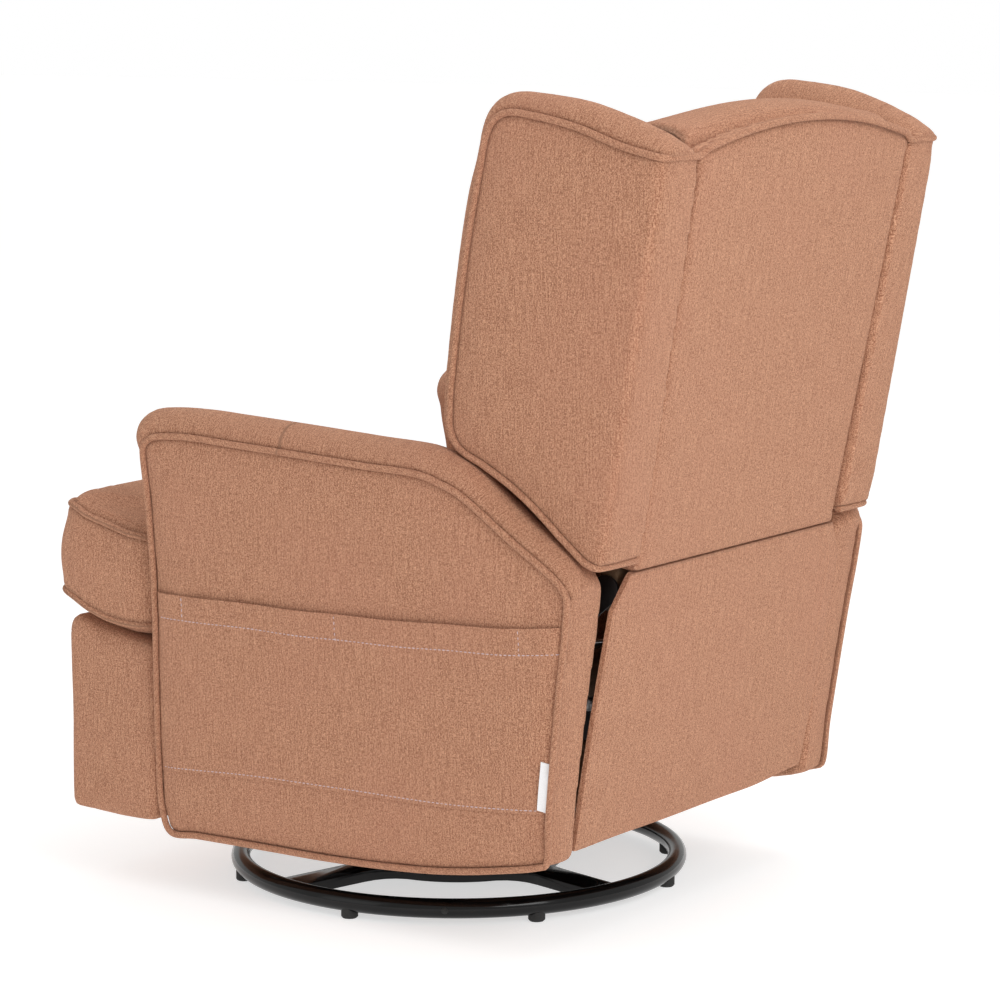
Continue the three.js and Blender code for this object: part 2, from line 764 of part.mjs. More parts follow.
// Padded T cushion lofted from its underside to its crown
function buildSeatCushion() {
  const earDepth = cushion.wingRear - cushion.front;
  const seamAt = (depth, column) => {
    const beyond = seamDrops.findIndex(([from]) => from > depth);
    const next = beyond < 0 ? seamDrops.length - 1 : max(beyond, 1);
    const [before, after] = [seamDrops[next - 1], seamDrops[next]];
    return THREE.MathUtils.mapLinear(depth, before[0], after[0], before[column], after[column]);
  };
  const plan = (level) => {
    const half = earShares.map(([upper, lower]) => new THREE.Vector2(
      cushion.wideHalf * THREE.MathUtils.lerp(lower[0], upper[0], level),
      cushion.front + earDepth * THREE.MathUtils.lerp(lower[1], upper[1], level),
    ));
    half.push(
      new THREE.Vector2(cushion.narrowHalf + cushion.innerCorner, cushion.wingRear),
      new THREE.Vector2(cushion.narrowHalf, cushion.wingRear + cushion.innerCorner),
      new THREE.Vector2(cushion.narrowHalf, cushion.rear - cushion.rearCorner),
      new THREE.Vector2(cushion.narrowHalf - cushion.rearCorner, cushion.rear),
    );
    return [...half, ...half.map((point) => new THREE.Vector2(-point.x, point.y)).reverse()];
  };
  const rings = padRings.map(([inset, level, lift]) => plan(level).map((point) => {
    const ahead = point.y < cushion.wingRear;
    const reach = ahead ? earDepth : cushion.rear - cushion.wingRear;
    const x = point.x * (1 - inset / cushion.wideHalf);
    const y = cushion.wingRear + (point.y - cushion.wingRear) * (1 - inset / reach);
    const depth = y - cushion.front;
    const top = cushion.topFront - seamAt(depth, 1);
    const low = cushion.lowFront - seamAt(depth, 2);
    return new THREE.Vector3(x, y, THREE.MathUtils.lerp(low, top, level) + lift);
  }));
  place('seat_cushion', loft(rings, planView), cloth);
}

// Arms with a padded top roll and a flared outer face
function armOutline() {
  const point = ([along, up]) => (
    new THREE.Vector2(arm.front + arm.depth * along, arm.bottom + arm.height * up)
  );
  const shape = new THREE.Shape();
  const start = point(armBottomShares[0]);
  shape.moveTo(start.x, start.y);
  shape.splineThru(armBottomShares.slice(1).map(point));
  armRearShares.map(point).forEach((corner) => shape.lineTo(corner.x, corner.y));
  shape.splineThru(armTopShares.map(point));
  armFrontShares.map(point).forEach((corner) => shape.lineTo(corner.x, corner.y));
  const points = shape.getPoints(2);
  return points.filter((corner, i) => i === 0 || corner.distanceTo(points[i - 1]) > overrun);
}

const armOuterX = (z) => arm.outer + arm.flare * (z - arm.bottom);

// How far the padding stands out of the outline: most on top, less at the front edge
function armCrown(point, normal) {
  const { lerp, smoothstep } = THREE.MathUtils;
  const depthShare = (point.x - arm.front) / arm.depth;
  const heightShare = (point.y - arm.bottom) / arm.height;
  const top = lerp(arm.crown, arm.rearCrown, smoothstep(depthShare, ...arm.rearFade));
  const above = smoothstep(heightShare, ...arm.frontFade);
  return top * max(0, normal.y) ** arm.crownPower + arm.frontCrown * max(0, -normal.x) * above;
}

// The inner front edge of an arm is rounded in plan
function armRounding(reach, normal) {
  const short = max(0, arm.frontRound - reach);
  return (arm.frontRound - sqrt(arm.frontRound ** 2 - short ** 2)) * max(0, -normal.x);
}

function buildArms() {
  const outline = armOutline();
  for (const [name, side] of [['left', 1], ['right', -1]]) {
    const rings = [];
    for (let k = 0; k <= arm.stations; k += 1) {
      const turn = k / arm.stations * PI;
      const across = (1 - cos(turn)) / 2;
      const xAt = (z) => THREE.MathUtils.lerp(arm.inner, armOuterX(z), across);
      const skin = swollen(outline, (point, normal) => (
        armCrown(point, normal) * sin(turn) - armRounding(xAt(point.y) - arm.inner, normal)
      ));
      rings.push(skin.map((point) => new THREE.Vector3(side * xAt(point.y), point.x, point.y)));
    }
    place(`arm_${name}`, loft(rings, sideView), cloth);
  }
}

// Pocket panel: a thin layer on the flared outer face of each arm
function buildPockets() {
  const front = arm.front + pocket.inset;
  const [lowRear, highRear] = [armBottomShares.at(-1), armRearShares.at(-1)];
  const rearAt = (z) => {
    const heightShare = (z - arm.bottom) / arm.height;
    const along = THREE.MathUtils.mapLinear(heightShare, lowRear[1], highRear[1], lowRear[0], highRear[0]);
    return arm.front + arm.depth * along - pocket.inset;
  };
  const outline = [
    [front, pocket.frontLow],
    [rearAt(pocket.rearLow), pocket.rearLow],
    [rearAt(pocket.rearTop), pocket.rearTop],
    [front, pocket.frontTop],
  ];
  for (const [name, side] of [['left', 1], ['right', -1]]) {
    const layer = (offset) => outline.map(([y, z]) => (
      new THREE.Vector3(side * (armOuterX(z) + offset), y, z)
    ));
    place(`side_pocket_${name}`, loft([layer(gap), layer(gap + pocket.thick)], sideView), cloth);
  }
  const corners = [
    [tag.y, tag.z], [tag.y + tag.width, tag.z],
    [tag.y + tag.width, tag.z + tag.height], [tag.y, tag.z + tag.height],
  ];
  const sheet = (offset) => corners.map(([y, z]) => (
    new THREE.Vector3(armOuterX(z) + offset, y + tag.lean * (z - tag.z), z)
  ));
  const tagBase = gap + pocket.thick + gap;
  place('sewn_tag', loft([sheet(tagBase), sheet(tagBase + tag.thick)], sideView), label);
}

// Lower back flap and the wooden rail that holds its hem, both leaning with the flap
function buildSkirt() {
  const lean = new THREE.Group();
  const rise = skirt.topZ - skirt.bottomZ;
  const run = skirt.topY - skirt.bottomY;
  lean.position.set(0, skirt.bottomY, skirt.bottomZ);
  lean.rotation.x = -Math.atan2(run, rise);
  chair.add(lean);
  const length = hypot(rise, run);
  const outline = [
    [-skirt.halfWidth, 0],
    [skirt.halfWidth, 0],
    [skirt.halfWidth, length - skirtTop.taper],
    [skirtTop.halfWidth, length],
    [-skirtTop.halfWidth, length],
    [-skirt.halfWidth, length - skirtTop.taper],
  ];
  const layer = (y) => outline.map(([x, z]) => new THREE.Vector3(x, y, z));
  place('back_skirt', loft([layer(0), layer(-skirt.thick)], frontView), cloth, lean);
  const half = mechanism.x + mechanism.plate;
  const y = -skirt.thick - gap;
  const rail = block(-half, half, y - rearRail.thick, y, rearRail.low, rearRail.high);
  place('base_rail_rear', rail, timber, lean);
}

// Leaning back: board, rear panel and front cushion
function buildBack() {
  const lean = new THREE.Group();
  const angle = Math.atan(back.slope);
  lean.position.set(0, back.y, back.z);
  lean.rotation.x = -angle;
  chair.add(lean);

  const boardHigh = backPanel.high - backBoard.belowTop;
  const board = roundedBox(
    -backBoard.halfWidth, backBoard.halfWidth, backBoard.low, boardHigh, backBoard.corner,
  );
  const { holeRows: rows, holeColumns: columns } = backBoard;
  for (let row = 0; row < rows; row += 1) {
    for (let column = 0; column < columns; column += 1) {
      const x = (column - (columns - 1) / 2) * backBoard.halfWidth * 2 / columns;
      const z = backBoard.low + (boardHigh - backBoard.low) * (row + 0.5) / rows;
      board.holes.push(roundHole({ x, y: z }, backBoard.holeRadius));
    }
  }
  const boardRear = -backPanel.thick - gap;
  const boardFront = boardRear - backBoard.thick;
  place('back_board', standing(board, boardFront, boardRear, 5), timber, lean);

  const halfAt = (z) => wingInner(back.z + z * cos(angle)) - backPanel.clearance;
  const outline = new THREE.Shape();
  const low = backPanel.low;
  const side = backPanel.high - backPanel.arch;
  outline.moveTo(-halfAt(low), low);
  outline.lineTo(halfAt(low), low);
  for (let k = 0; k <= backPanel.arcSteps; k += 1) {
    const x = halfAt(side) * (1 - 2 * k / backPanel.arcSteps);
    outline.lineTo(x, backPanel.high - backPanel.arch * (x / halfAt(side)) ** 2);
  }
  place('back_panel', bevelled(outline, backPanel.thick, backPanel.bevel), cloth, lean);

  const front = boardFront - gap;
  const ledge = boardHigh + gap;
  const height = backPanel.high + backCushion.rise;
  const face = backCushionShares.map(([depth, up]) => (
    new THREE.Vector2(-backCushion.depth * depth, height * up)
  ));
  const profile = [
    ...face.reverse(),
    new THREE.Vector2(front, 0),
    new THREE.Vector2(front, ledge),
    new THREE.Vector2(boardRear, ledge),
    new THREE.Vector2(boardRear, backPanel.high - backPanel.bevel),
  ];
  const rings = [];
  for (let k = 0; k <= backCushion.stations; k += 1) {
    const across = -cos(k / backCushion.stations * PI);
    const edge = 1 - sqrt(max(0, 1 - abs(across) ** backCushion.squareness));
    const inner = drawnIn(profile, backCushion.round * edge);
    const shrunk = profile.map((point, i) => (point.x < front - gap ? inner[i] : point));
    rings.push(shrunk.map((point) => {
      const drop = backPanel.arch * across ** 2 * THREE.MathUtils.smoothstep(point.y, ledge, backPanel.high);
      const z = back.z + point.y * cos(angle) - point.x * sin(angle);
      const y = back.y + point.x * cos(angle) + point.y * sin(angle);
      const half = min(wingInner(z, y), arm.inner) - backCushion.clearance;
      return new THREE.Vector3(half * across, point.x, point.y - drop);
    }));
  }
  place('back_cushion', loft(rings, sideView), cloth, lean);
}

// Shape in the leaning panel's own plane (X, Z), thick from y0 to y1
function standing(shape, y0, y1, segments = 8) {
  const geometry = new THREE.ExtrudeGeometry(shape, {
    depth: y1 - y0, bevelEnabled: false, curveSegments: segments,
  });
  return geometry.rotateX(PI / 2).translate(0, y1, 0);
}

function bevelled(shape, thick, bevel) {
  const geometry = new THREE.ExtrudeGeometry(shape, {
    depth: thick - bevel * 2, bevelThickness: bevel, bevelSize: bevel, bevelOffset: -bevel, bevelSegments: 2,
  });
  return geometry.rotateX(PI / 2).translate(0, -bevel, 0);
}

// Half widths between and over the wings; towards the front the wings get thinner
function wingInner(z, y = Infinity) {
  const share = (z - wing.bottom) / wing.height;
  const ahead = max(0, back.y + back.slope * (z - back.z) - y) / wing.depth;
  return THREE.MathUtils.lerp(wing.innerLow, wing.innerHigh, share) + wing.frontTaper * ahead;
}

function wingOuter(z) {
  return THREE.MathUtils.lerp(wing.outerLow, wing.outerHigh, (z - wing.bottom) / wing.height);
}

function buildWings() {
  const outline = wingShares.map(([along, up]) => new THREE.Vector2(
    wing.front + wing.depth * along, wing.bottom + wing.height * up,
  )).reverse();
  const crown = (normal) => wing.crown * max(0, normal.y) ** wing.crownPower
    + wing.frontCrown * max(0, -normal.x) + wing.bottomCrown * max(0, -normal.y);
  const turned = THREE.ShapeUtils.area(outline) > 0 ? outline : [...outline].reverse();
  for (const [name, side] of [['left', 1], ['right', -1]]) {
    const rings = [];
    for (let k = 0; k <= wing.stations; k += 1) {
      const turn = k / wing.stations * PI;
      const across = (1 - cos(turn)) / 2;
      rings.push(swollen(turned, (point, normal) => crown(normal) * sin(turn)).map((point) => {
        const x = THREE.MathUtils.lerp(wingInner(point.y, point.x), wingOuter(point.y), across);
        return new THREE.Vector3(side * x, point.x, point.y);
      }));
    }
    place(`wing_${name}`, loft(rings, sideView), cloth);
  }
}

// Steel brackets that carry the back on its hinge pins
function buildBackBrackets() {
  const x0 = backBoard.halfWidth + gap;
  const x1 = x0 + mechanism.plate;
  const x2 = mechanism.x + mechanism.plate + gap;
  const rootY = back.y - backPanel.thick - backBoard.thick / 2 - backPivot.lobe / 2;
  const root = new THREE.Vector2(rootY, back.z - backPivot.rootDrop);
  const pivot = new THREE.Vector2(backPivot.y, backPivot.z);
  for (const [name, side] of [['left', 1], ['right', -1]]) {
    place(`back_bracket_${name}`, join(
      sidePlate(barShape(pivot, root, backPivot.lobe), side * x0, side * x1),
      pin(backPivot.pinRadius, side * (x1 - gap), side * (x2 + gap), backPivot.y, backPivot.z),
      pin(backPivot.headRadius, side * x2, side * (x2 + backPivot.headThick), backPivot.y, backPivot.z),
    ), steel);
  }
}

// Folding footrest: rear links on the mechanism plates, front links, board and pad
function buildFootrest() {
  const pivot = new THREE.Vector2(footLink.pivotY, footLink.pivotZ);
  const along = (length, turn) => new THREE.Vector2(-length * cos(rad(turn)), length * sin(rad(turn)));
  const elbow = pivot.clone().add(along(footLink.length, footLink.pathTilt - footLink.foldAngle));
  const wrist = elbow.clone().add(along(footLink.length, footLink.pathTilt + footLink.foldAngle));
  const drive = pivot.clone().add(along(footLink.driveAt, footLink.pathTilt - footLink.foldAngle));

  const rearX1 = mechanism.x - runningGap;
  const rearX0 = rearX1 - footLink.thick;
  const frontX1 = rearX0 - footLink.play;
  const frontX0 = frontX1 - footLink.thick;
  const bracketX1 = frontX0 - footLink.play;
  const bracketX0 = bracketX1 - footBracket.thick;
  const plateOuter = mechanism.x + mechanism.plate + gap;
  const head = footLink.headThick;

  for (const [name, side] of [['left', 1], ['right', -1]]) {
    const post = (radius, x0, x1, at) => pin(radius, side * x0, side * x1, at.x, at.y);
    place(`footrest_link_rear_${name}`, join(
      sidePlate(barShape(pivot, elbow, footLink.halfWidth), side * rearX0, side * rearX1),
      post(footLink.pinRadius, rearX1 - gap, plateOuter + gap, pivot),
      post(footLink.headRadius, plateOuter, plateOuter + head, pivot),
      post(footLink.pinRadius, frontX0 - gap - head, rearX0 + gap, elbow),
      post(footLink.headRadius, frontX0 - gap - head, frontX0 - gap, elbow),
    ), zinc);

    const frontShape = barShape(elbow, wrist, footLink.halfWidth);
    frontShape.holes.push(roundHole(elbow, footLink.pinRadius + gap));
    place(`footrest_link_front_${name}`, join(
      sidePlate(frontShape, side * frontX0, side * frontX1),
      post(footLink.pinRadius, bracketX0 - gap - head, frontX0 + gap, wrist),
      post(footLink.headRadius, bracketX0 - gap - head, bracketX0 - gap, wrist),
    ), zinc);

    const boardRear = footBoard.front + footBoard.thick + gap;
    const toe = new THREE.Vector2(wrist.x, footBracket.lowerZ + footBracket.lobe);
    const lobe = barShape(wrist, toe, footBracket.lobe);
    const ear = cut(join(
      sidePlate(lobe, side * bracketX0, side * bracketX1),
      block(side * bracketX0, side * bracketX1, boardRear, wrist.x, footBracket.lowerZ,
        wrist.y - footBracket.lobe),
      block(side * (bracketX1 - footBracket.flangeWidth), side * bracketX1, boardRear,
        boardRear + footBracket.flangeThick, footBracket.lowerZ, wrist.y - footBracket.lobe),
    ), post(footLink.pinRadius + gap, bracketX0 - overrun, bracketX1 + overrun, wrist));
    place(`footrest_bracket_${name}`, ear, steel);
  }
  const driveHalf = rearX0 - gap;
  place('footrest_drive_tube', pin(footLink.driveRadius, -driveHalf, driveHalf, drive.x, drive.y), paint);

  const board = roundedBox(
    -footBoard.halfWidth, footBoard.halfWidth, footBoard.bottom + gap, footBoard.top - gap, footBoard.corner,
  );
  const rear = footBoard.front + footBoard.thick;
  place('footrest_board', standing(board, footBoard.front, rear, 3), timber);
  buildFootPad();
}

// Footrest pad: a deep padded panel with a recess behind for the board
function buildFootPad() {
  const depth = footPad.rear - footPad.front;
  const height = footPad.top - footPad.bottom;
  const outline = footPadShares.map(([along, up]) => (
    new THREE.Vector2(footPad.front + depth * along, footPad.bottom + height * up)
  ));
  const edge = footPad.round;
  const endAt = (side) => roundedEndShares.map(([along, inset]) => (
    [side * (footPad.halfWidth - edge * along), edge * inset]
  ));
  const spots = [...endAt(-1), ...endAt(1).reverse()];
  const rings = spots.map(([x, inset]) => drawnIn(outline, inset)
    .map((point) => new THREE.Vector3(x, point.x, point.y)));
  const pocketHalf = footBoard.halfWidth + gap;
  const recess = block(-pocketHalf, pocketHalf, footBoard.front - gap, footPad.rear + overrun,
    footBoard.bottom, footBoard.top);
  place('footrest_pad', cut(loft(rings, sideView), recess), cloth);
}

// Release strap that comes up between the seat and the right arm
function buildStrap() {
  const x = -arm.inner + gap;
  const half = strap.width / 2;
  const high = strap.low + strap.height;
  const band = block(x, x + strap.thick, strap.y - half, strap.y + half, strap.low, high);
  const grip = block(
    x, x + strap.gripThick, strap.y - half, strap.y + half, high - strap.grip, high,
  );
  place('release_strap', join(band, grip), cloth);
}

const frameZ = buildBase();
buildTurntable(frameZ);
buildGliderLinks();
buildSeatBox(buildChassis());
buildSeatCushion();
buildArms();
buildPockets();
buildSkirt();
buildBack();
buildWings();
buildBackBrackets();
buildFootrest();
buildStrap();

// The origin is the middle of the bounding box, on the floor
chair.updateMatrixWorld(true);
const bounds = new THREE.Box3().setFromObject(chair, true);
chair.position.set(0, -(bounds.min.y + bounds.max.y) / 2, 0);
chair.updateMatrixWorld(true);

export default chair;
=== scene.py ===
import bpy
import bmesh
import json
import math
import numpy as np
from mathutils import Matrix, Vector
from mathutils.bvhtree import BVHTree
from mathutils.kdtree import KDTree


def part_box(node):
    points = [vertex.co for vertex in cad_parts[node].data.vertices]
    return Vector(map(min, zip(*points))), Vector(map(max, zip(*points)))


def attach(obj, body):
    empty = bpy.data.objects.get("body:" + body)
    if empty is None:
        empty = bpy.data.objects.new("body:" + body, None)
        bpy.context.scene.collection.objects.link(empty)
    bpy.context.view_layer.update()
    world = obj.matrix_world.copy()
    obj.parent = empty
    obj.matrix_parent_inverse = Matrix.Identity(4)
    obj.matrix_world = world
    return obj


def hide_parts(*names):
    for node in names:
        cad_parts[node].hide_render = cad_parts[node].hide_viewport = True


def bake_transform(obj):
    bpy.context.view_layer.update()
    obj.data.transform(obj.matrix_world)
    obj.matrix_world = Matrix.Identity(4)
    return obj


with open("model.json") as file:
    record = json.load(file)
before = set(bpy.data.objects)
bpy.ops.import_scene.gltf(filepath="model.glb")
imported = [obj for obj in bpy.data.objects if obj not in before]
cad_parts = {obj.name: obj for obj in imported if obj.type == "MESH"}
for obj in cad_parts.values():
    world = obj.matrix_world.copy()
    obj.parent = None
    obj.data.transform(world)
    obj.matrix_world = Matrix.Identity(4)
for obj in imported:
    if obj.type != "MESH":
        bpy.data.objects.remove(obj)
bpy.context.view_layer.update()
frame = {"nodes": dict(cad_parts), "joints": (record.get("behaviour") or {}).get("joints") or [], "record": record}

# All shapes are worked out in millimetres from the swivel axis on the floor: +X is the
# sitter's left, -Y the front. toScene turns them into the frame's metres.
mm = 0.001
axisY = next(joint["pos_m"][1] for joint in frame["joints"] if joint["name"] == "swivel")
scene = bpy.context.scene


def toScene(points):
    return np.asarray(points, float).reshape(-1, 3) * mm + (0, axisY, 0)


def toChair(points):
    return (np.asarray(points, float).reshape(-1, 3) - (0, axisY, 0)) / mm


def spotInScene(point):
    return Vector(toScene([point])[0])


def addObject(name, data):
    added = bpy.data.objects.new(name, data)
    scene.collection.objects.link(added)
    return added


# Camera at the photograph's angle
view = {
    "target": (-46.5, 34.8, 495.6), "distance": 4615.6, "azimuth": 124.708, "elevation": 8.476,
    "lens": 124.84, "sensor": 36, "reach": 60,
}


def addCamera():
    azimuth, elevation = math.radians(view["azimuth"]), math.radians(view["elevation"])
    back = Vector((math.sin(azimuth) * math.cos(elevation), -math.cos(azimuth) * math.cos(elevation),
                   math.sin(elevation)))
    data = bpy.data.cameras.new("viewCamera")
    data.lens = view["lens"]
    data.sensor_width = view["sensor"]
    data.clip_end = view["reach"]
    camera = addObject("viewCamera", data)
    camera.location = spotInScene(view["target"]) + back * view["distance"] * mm
    camera.rotation_euler = (-back).to_track_quat("-Z", "Y").to_euler()
    scene.camera = camera


# Shader tools: a signal is a socket that can be used in plain arithmetic
class Signal:
    def __init__(self, kit, socket):
        self.kit, self.socket = kit, socket

    def maths(self, operation, *values):
        return self.kit.node("ShaderNodeMath", {"operation": operation}, dict(enumerate(values)))

    def __add__(self, other):
        return self.maths("ADD", self, other)

    def __radd__(self, other):
        return self.maths("ADD", other, self)

    def __sub__(self, other):
        return self.maths("SUBTRACT", self, other)

    def __rsub__(self, other):
        return self.maths("SUBTRACT", other, self)

    def __mul__(self, other):
        return self.maths("MULTIPLY", self, other)

    def __rmul__(self, other):
        return self.maths("MULTIPLY", other, self)

    def sine(self):
        return self.maths("SINE", self)

    def clipped(self):
        return self.kit.node("ShaderNodeClamp", {}, {"Value": self})


class Finish:
    def __init__(self, name):
        self.material = bpy.data.materials.new(name)
        self.material.use_nodes = True
        self.tree = self.material.node_tree
        self.tree.nodes.clear()

    def node(self, kind, settings=None, inputs=None, output=0):
        made = self.tree.nodes.new(kind)
        for key, value in (settings or {}).items():
            if key == "stops":
                self.setStops(made.color_ramp, value)
            else:
                setattr(made, key, value)
        for key, value in (inputs or {}).items():
            if isinstance(value, Signal):
                self.tree.links.new(value.socket, made.inputs[key])
            else:
                made.inputs[key].default_value = value
        return Signal(self, made.outputs[output]) if made.outputs else None

    def setStops(self, ramp, stops):
        while len(ramp.elements) < len(stops):
            ramp.elements.new(0.5)
        for element, (place, colour) in zip(ramp.elements, stops):
            element.position = place
            element.color = (*colour, 1)

    def mix(self, factor, first, second):
        return self.node("ShaderNodeMix", {"data_type": "RGBA"}, {0: factor, 6: first, 7: second}, 2)

    def multiply(self, colour, signal):
        grey = self.node("ShaderNodeCombineColor", {}, {0: signal, 1: signal, 2: signal})
        return self.node("ShaderNodeMix", {"data_type": "RGBA", "blend_type": "MULTIPLY"},
                         {0: 1.0, 6: colour, 7: grey}, 2)

    def place(self):
        return self.node("ShaderNodeTexCoord", {}, {}, "Object")

    def weave(self):
        return self.node("ShaderNodeUVMap", {"uv_map": "weave"})

    def part(self, vector, axis):
        return self.node("ShaderNodeSeparateXYZ", {}, {"Vector": vector}, axis)

    def stretched(self, vector, scale):
        return self.node("ShaderNodeMapping", {}, {"Vector": vector, "Scale": scale})

    def ramp(self, level, *stops):
        return self.node("ShaderNodeValToRGB", {"stops": stops}, {"Fac": level})

    def noise(self, vector, scale, detail=2.0, roughness=0.55):
        return self.node("ShaderNodeTexNoise", {}, {
            "Vector": vector, "Scale": scale, "Detail": detail, "Roughness": roughness})

    def surface(self, colour, roughness, height=None, bumpDistance=0.001, bumpStrength=1.0, **sockets):
        inputs = {"Base Color": colour, "Roughness": roughness}
        inputs.update({name.replace("_", " "): value for name, value in sockets.items()})
        if height is not None:
            inputs["Normal"] = self.node("ShaderNodeBump", {}, {
                "Height": height, "Distance": bumpDistance, "Strength": bumpStrength})
        shader = self.node("ShaderNodeBsdfPrincipled", {}, inputs)
        self.node("ShaderNodeOutputMaterial", {}, {"Surface": shader})
        return self.material


# Upholstery: a woven chenille with fine slubs along the second weave coordinate, in metres
fabric = {
    "light": (0.690, 0.385, 0.246), "mid": (0.495, 0.240, 0.144), "dark": (0.270, 0.112, 0.064),
    "slubAcross": 520, "slubAlong": 205, "fibreAcross": 820, "fibreAlong": 540, "streakAcross": 420,
    "streakAlong": 26, "pitch": 0.0017, "mottle": 6, "blush": (0.50, 0.225, 0.150), "sheen": 0.16,
    "seamShade": 0.55, "weights": (1.35, 2.1, 0.55, 0.05), "threadWave": 5, "bump": 0.0009,
}


def wovenFabric(name, tone=1.0):
    kit = Finish(name)
    spot = kit.weave()
    body = kit.place()

    def strokes(across, along, detail):
        return kit.noise(kit.stretched(spot, (across, along, 1)), 1, detail, 0.62)
    slub = strokes(fabric["slubAcross"], fabric["slubAlong"], 3)
    fibre = strokes(fabric["fibreAcross"], fabric["fibreAlong"], 2)
    streak = strokes(fabric["streakAcross"], fabric["streakAlong"], 1)
    mottle = kit.noise(body, fabric["mottle"], 2, 0.5)
    crease = kit.node("ShaderNodeAttribute", {"attribute_name": "seamShade"}, {}, "Fac")
    across = kit.part(spot, "X")
    thread = (across * (2 * math.pi / fabric["pitch"]) + slub * fabric["threadWave"]).sine()
    slubs, fibres, streaks, threads = fabric["weights"]
    level = (slub - 0.5) * slubs + (fibre - 0.5) * fibres + (streak - 0.5) * streaks + 0.5 + thread * threads
    colour = kit.ramp(level, (0.15, fabric["dark"]), (0.52, fabric["mid"]), (0.9, fabric["light"]))
    colour = kit.mix(((mottle - 0.42) * 1.8).clipped() * 0.4, colour, (*fabric["blush"], 1))
    # Painted shade: the seamShade attribute (read as crease) darkens the colour along seams, grooves and gaps
    colour = kit.multiply(colour, (1 - crease * fabric["seamShade"]) * tone)
    height = level + thread * 0.2
    return kit.surface(colour, 0.92, height, fabric["bump"], 0.8, Sheen_Weight=fabric["sheen"],
                       Sheen_Roughness=0.5, Sheen_Tint=(1.0, 0.72, 0.55, 1), Specular_IOR_Level=0.15)


def plainThread(name, colour, roughness=0.75):
    kit = Finish(name)
    body = kit.place()
    twist = kit.noise(body, 2600, 2, 0.6)
    shade = kit.ramp(twist, (0.25, tuple(c * 0.72 for c in colour)), (0.7, colour))
    return kit.surface(shade, roughness, twist, 0.0003, 0.6)


def glossPaint(name, colour, roughness):
    kit = Finish(name)
    body = kit.place()
    peel = kit.noise(body, 260, 2, 0.5)
    dust = kit.noise(body, 34, 4, 0.7)
    shade = kit.ramp(dust, (0.45, colour), (0.8, tuple(c * 2.2 + 0.001 for c in colour)))
    return kit.surface(shade, (dust - 0.5) * 0.16 + roughness, peel, 0.0002, 0.2, Specular_IOR_Level=0.32)


def plainMetal(name, colour, roughness, grain=900):
    kit = Finish(name)
    body = kit.place()
    brushed = kit.noise(kit.stretched(body, (1, 1, 0.06)), grain, 2, 0.6)
    stain = kit.noise(body, 26, 4, 0.65)
    shade = kit.ramp(stain * 0.6 + brushed * 0.4, (0.3, tuple(c * 0.7 for c in colour)), (0.7, colour))
    return kit.surface(shade, (stain - 0.5) * 0.3 + roughness, brushed, 0.0001, 0.3, Metallic=0.95)


# Painted shade: the timber colours are kept far darker than bare plywood so the frame inside the chair reads as
# unlit
def shadeDarkTimber(name):
    kit = Finish(name)
    body = kit.place()
    grain = kit.noise(kit.stretched(body, (9, 130, 130)), 1, 4, 0.6)
    pore = kit.noise(kit.stretched(body, (60, 900, 900)), 1, 2, 0.6)
    shade = kit.ramp(grain, (0.3, (0.085, 0.047, 0.024)), (0.5, (0.15, 0.088, 0.046)),
                     (0.72, (0.22, 0.14, 0.08)))
    shade = kit.multiply(shade, 1 - ((pore - 0.6) * 2).clipped() * 0.4)
    return kit.surface(shade, 0.62, grain + pore * 0.5, 0.0006, 0.5)


def mattRubber(name):
    kit = Finish(name)
    body = kit.place()
    speck = kit.noise(body, 700, 3, 0.7)
    shade = kit.ramp(speck, (0.35, (0.012, 0.012, 0.012)), (0.8, (0.035, 0.034, 0.033)))
    return kit.surface(shade, 0.78, speck, 0.0003, 0.5)


def strapWebbing(name):
    kit = Finish(name)
    spot = kit.weave()
    across, along = kit.part(spot, "X"), kit.part(spot, "Y")
    ribWide, ribLong = 0.0016, 0.0024
    rib = (across * (2 * math.pi / ribWide)).sine() * (along * (2 * math.pi / ribLong)).sine()
    shade = kit.ramp(rib * 0.5 + 0.5, (0.2, (0.22, 0.10, 0.065)), (0.8, (0.46, 0.235, 0.155)))
    return kit.surface(shade, 0.85, rib, 0.0006, 0.8)


addCamera()
materials = {
    "cloth": wovenFabric("peachChenille"),
    "piping": wovenFabric("pipingChenille", 0.98),
    "thread": plainThread("paleThread", (0.74, 0.60, 0.63)),
    "label": plainThread("tagWeave", (0.93, 0.93, 0.94), 0.6),
    "paint": glossPaint("glossBlackEnamel", (0.0022, 0.0022, 0.0024), 0.15),
    "steel": plainMetal("darkSteel", (0.075, 0.076, 0.08), 0.42),
    "zinc": plainMetal("zincPlate", (0.56, 0.57, 0.58), 0.32),
    "timber": shadeDarkTimber("shadeDarkTimber"),
    "rubber": mattRubber("blackRubber"),
    "webbing": strapWebbing("strapWebbing"),
}
print("camera and finishes ready")


# Mesh tools
def meshPiece(name, points, faces, material):
    mesh = bpy.data.meshes.new(name)
    mesh.from_pydata([tuple(p) for p in toScene(points)], [], [tuple(f) for f in faces])
    mesh.materials.append(materials[material])
    return addObject(name, mesh)


def valuesOf(items, key, width=3, kind=float):
    flat = np.empty(len(items) * width, kind)
    items.foreach_get(key, flat)
    return flat.reshape(-1, width) if width > 1 else flat


def pointsOf(piece):
    return toChair(valuesOf(piece.data.vertices, "co"))


def setPoints(piece, points):
    piece.data.vertices.foreach_set("co", toScene(points).ravel())
    piece.data.update()


def replaceMesh(piece, mesh):
    old = piece.data
    piece.modifiers.clear()
    piece.data = mesh
    mesh.name = piece.name
    bpy.data.meshes.remove(old)


def evaluated(piece):
    graph = bpy.context.evaluated_depsgraph_get()
    return bpy.data.meshes.new_from_object(piece.evaluated_get(graph))


def bakeModifiers(piece):
    bpy.context.view_layer.update()
    replaceMesh(piece, evaluated(piece))
    return piece


def smooth(piece, angle=None):
    piece.data.polygons.foreach_set("use_smooth", np.ones(len(piece.data.polygons), bool))
    if angle is not None:
        piece.data.set_sharp_from_angle(angle=math.radians(angle))
    return piece


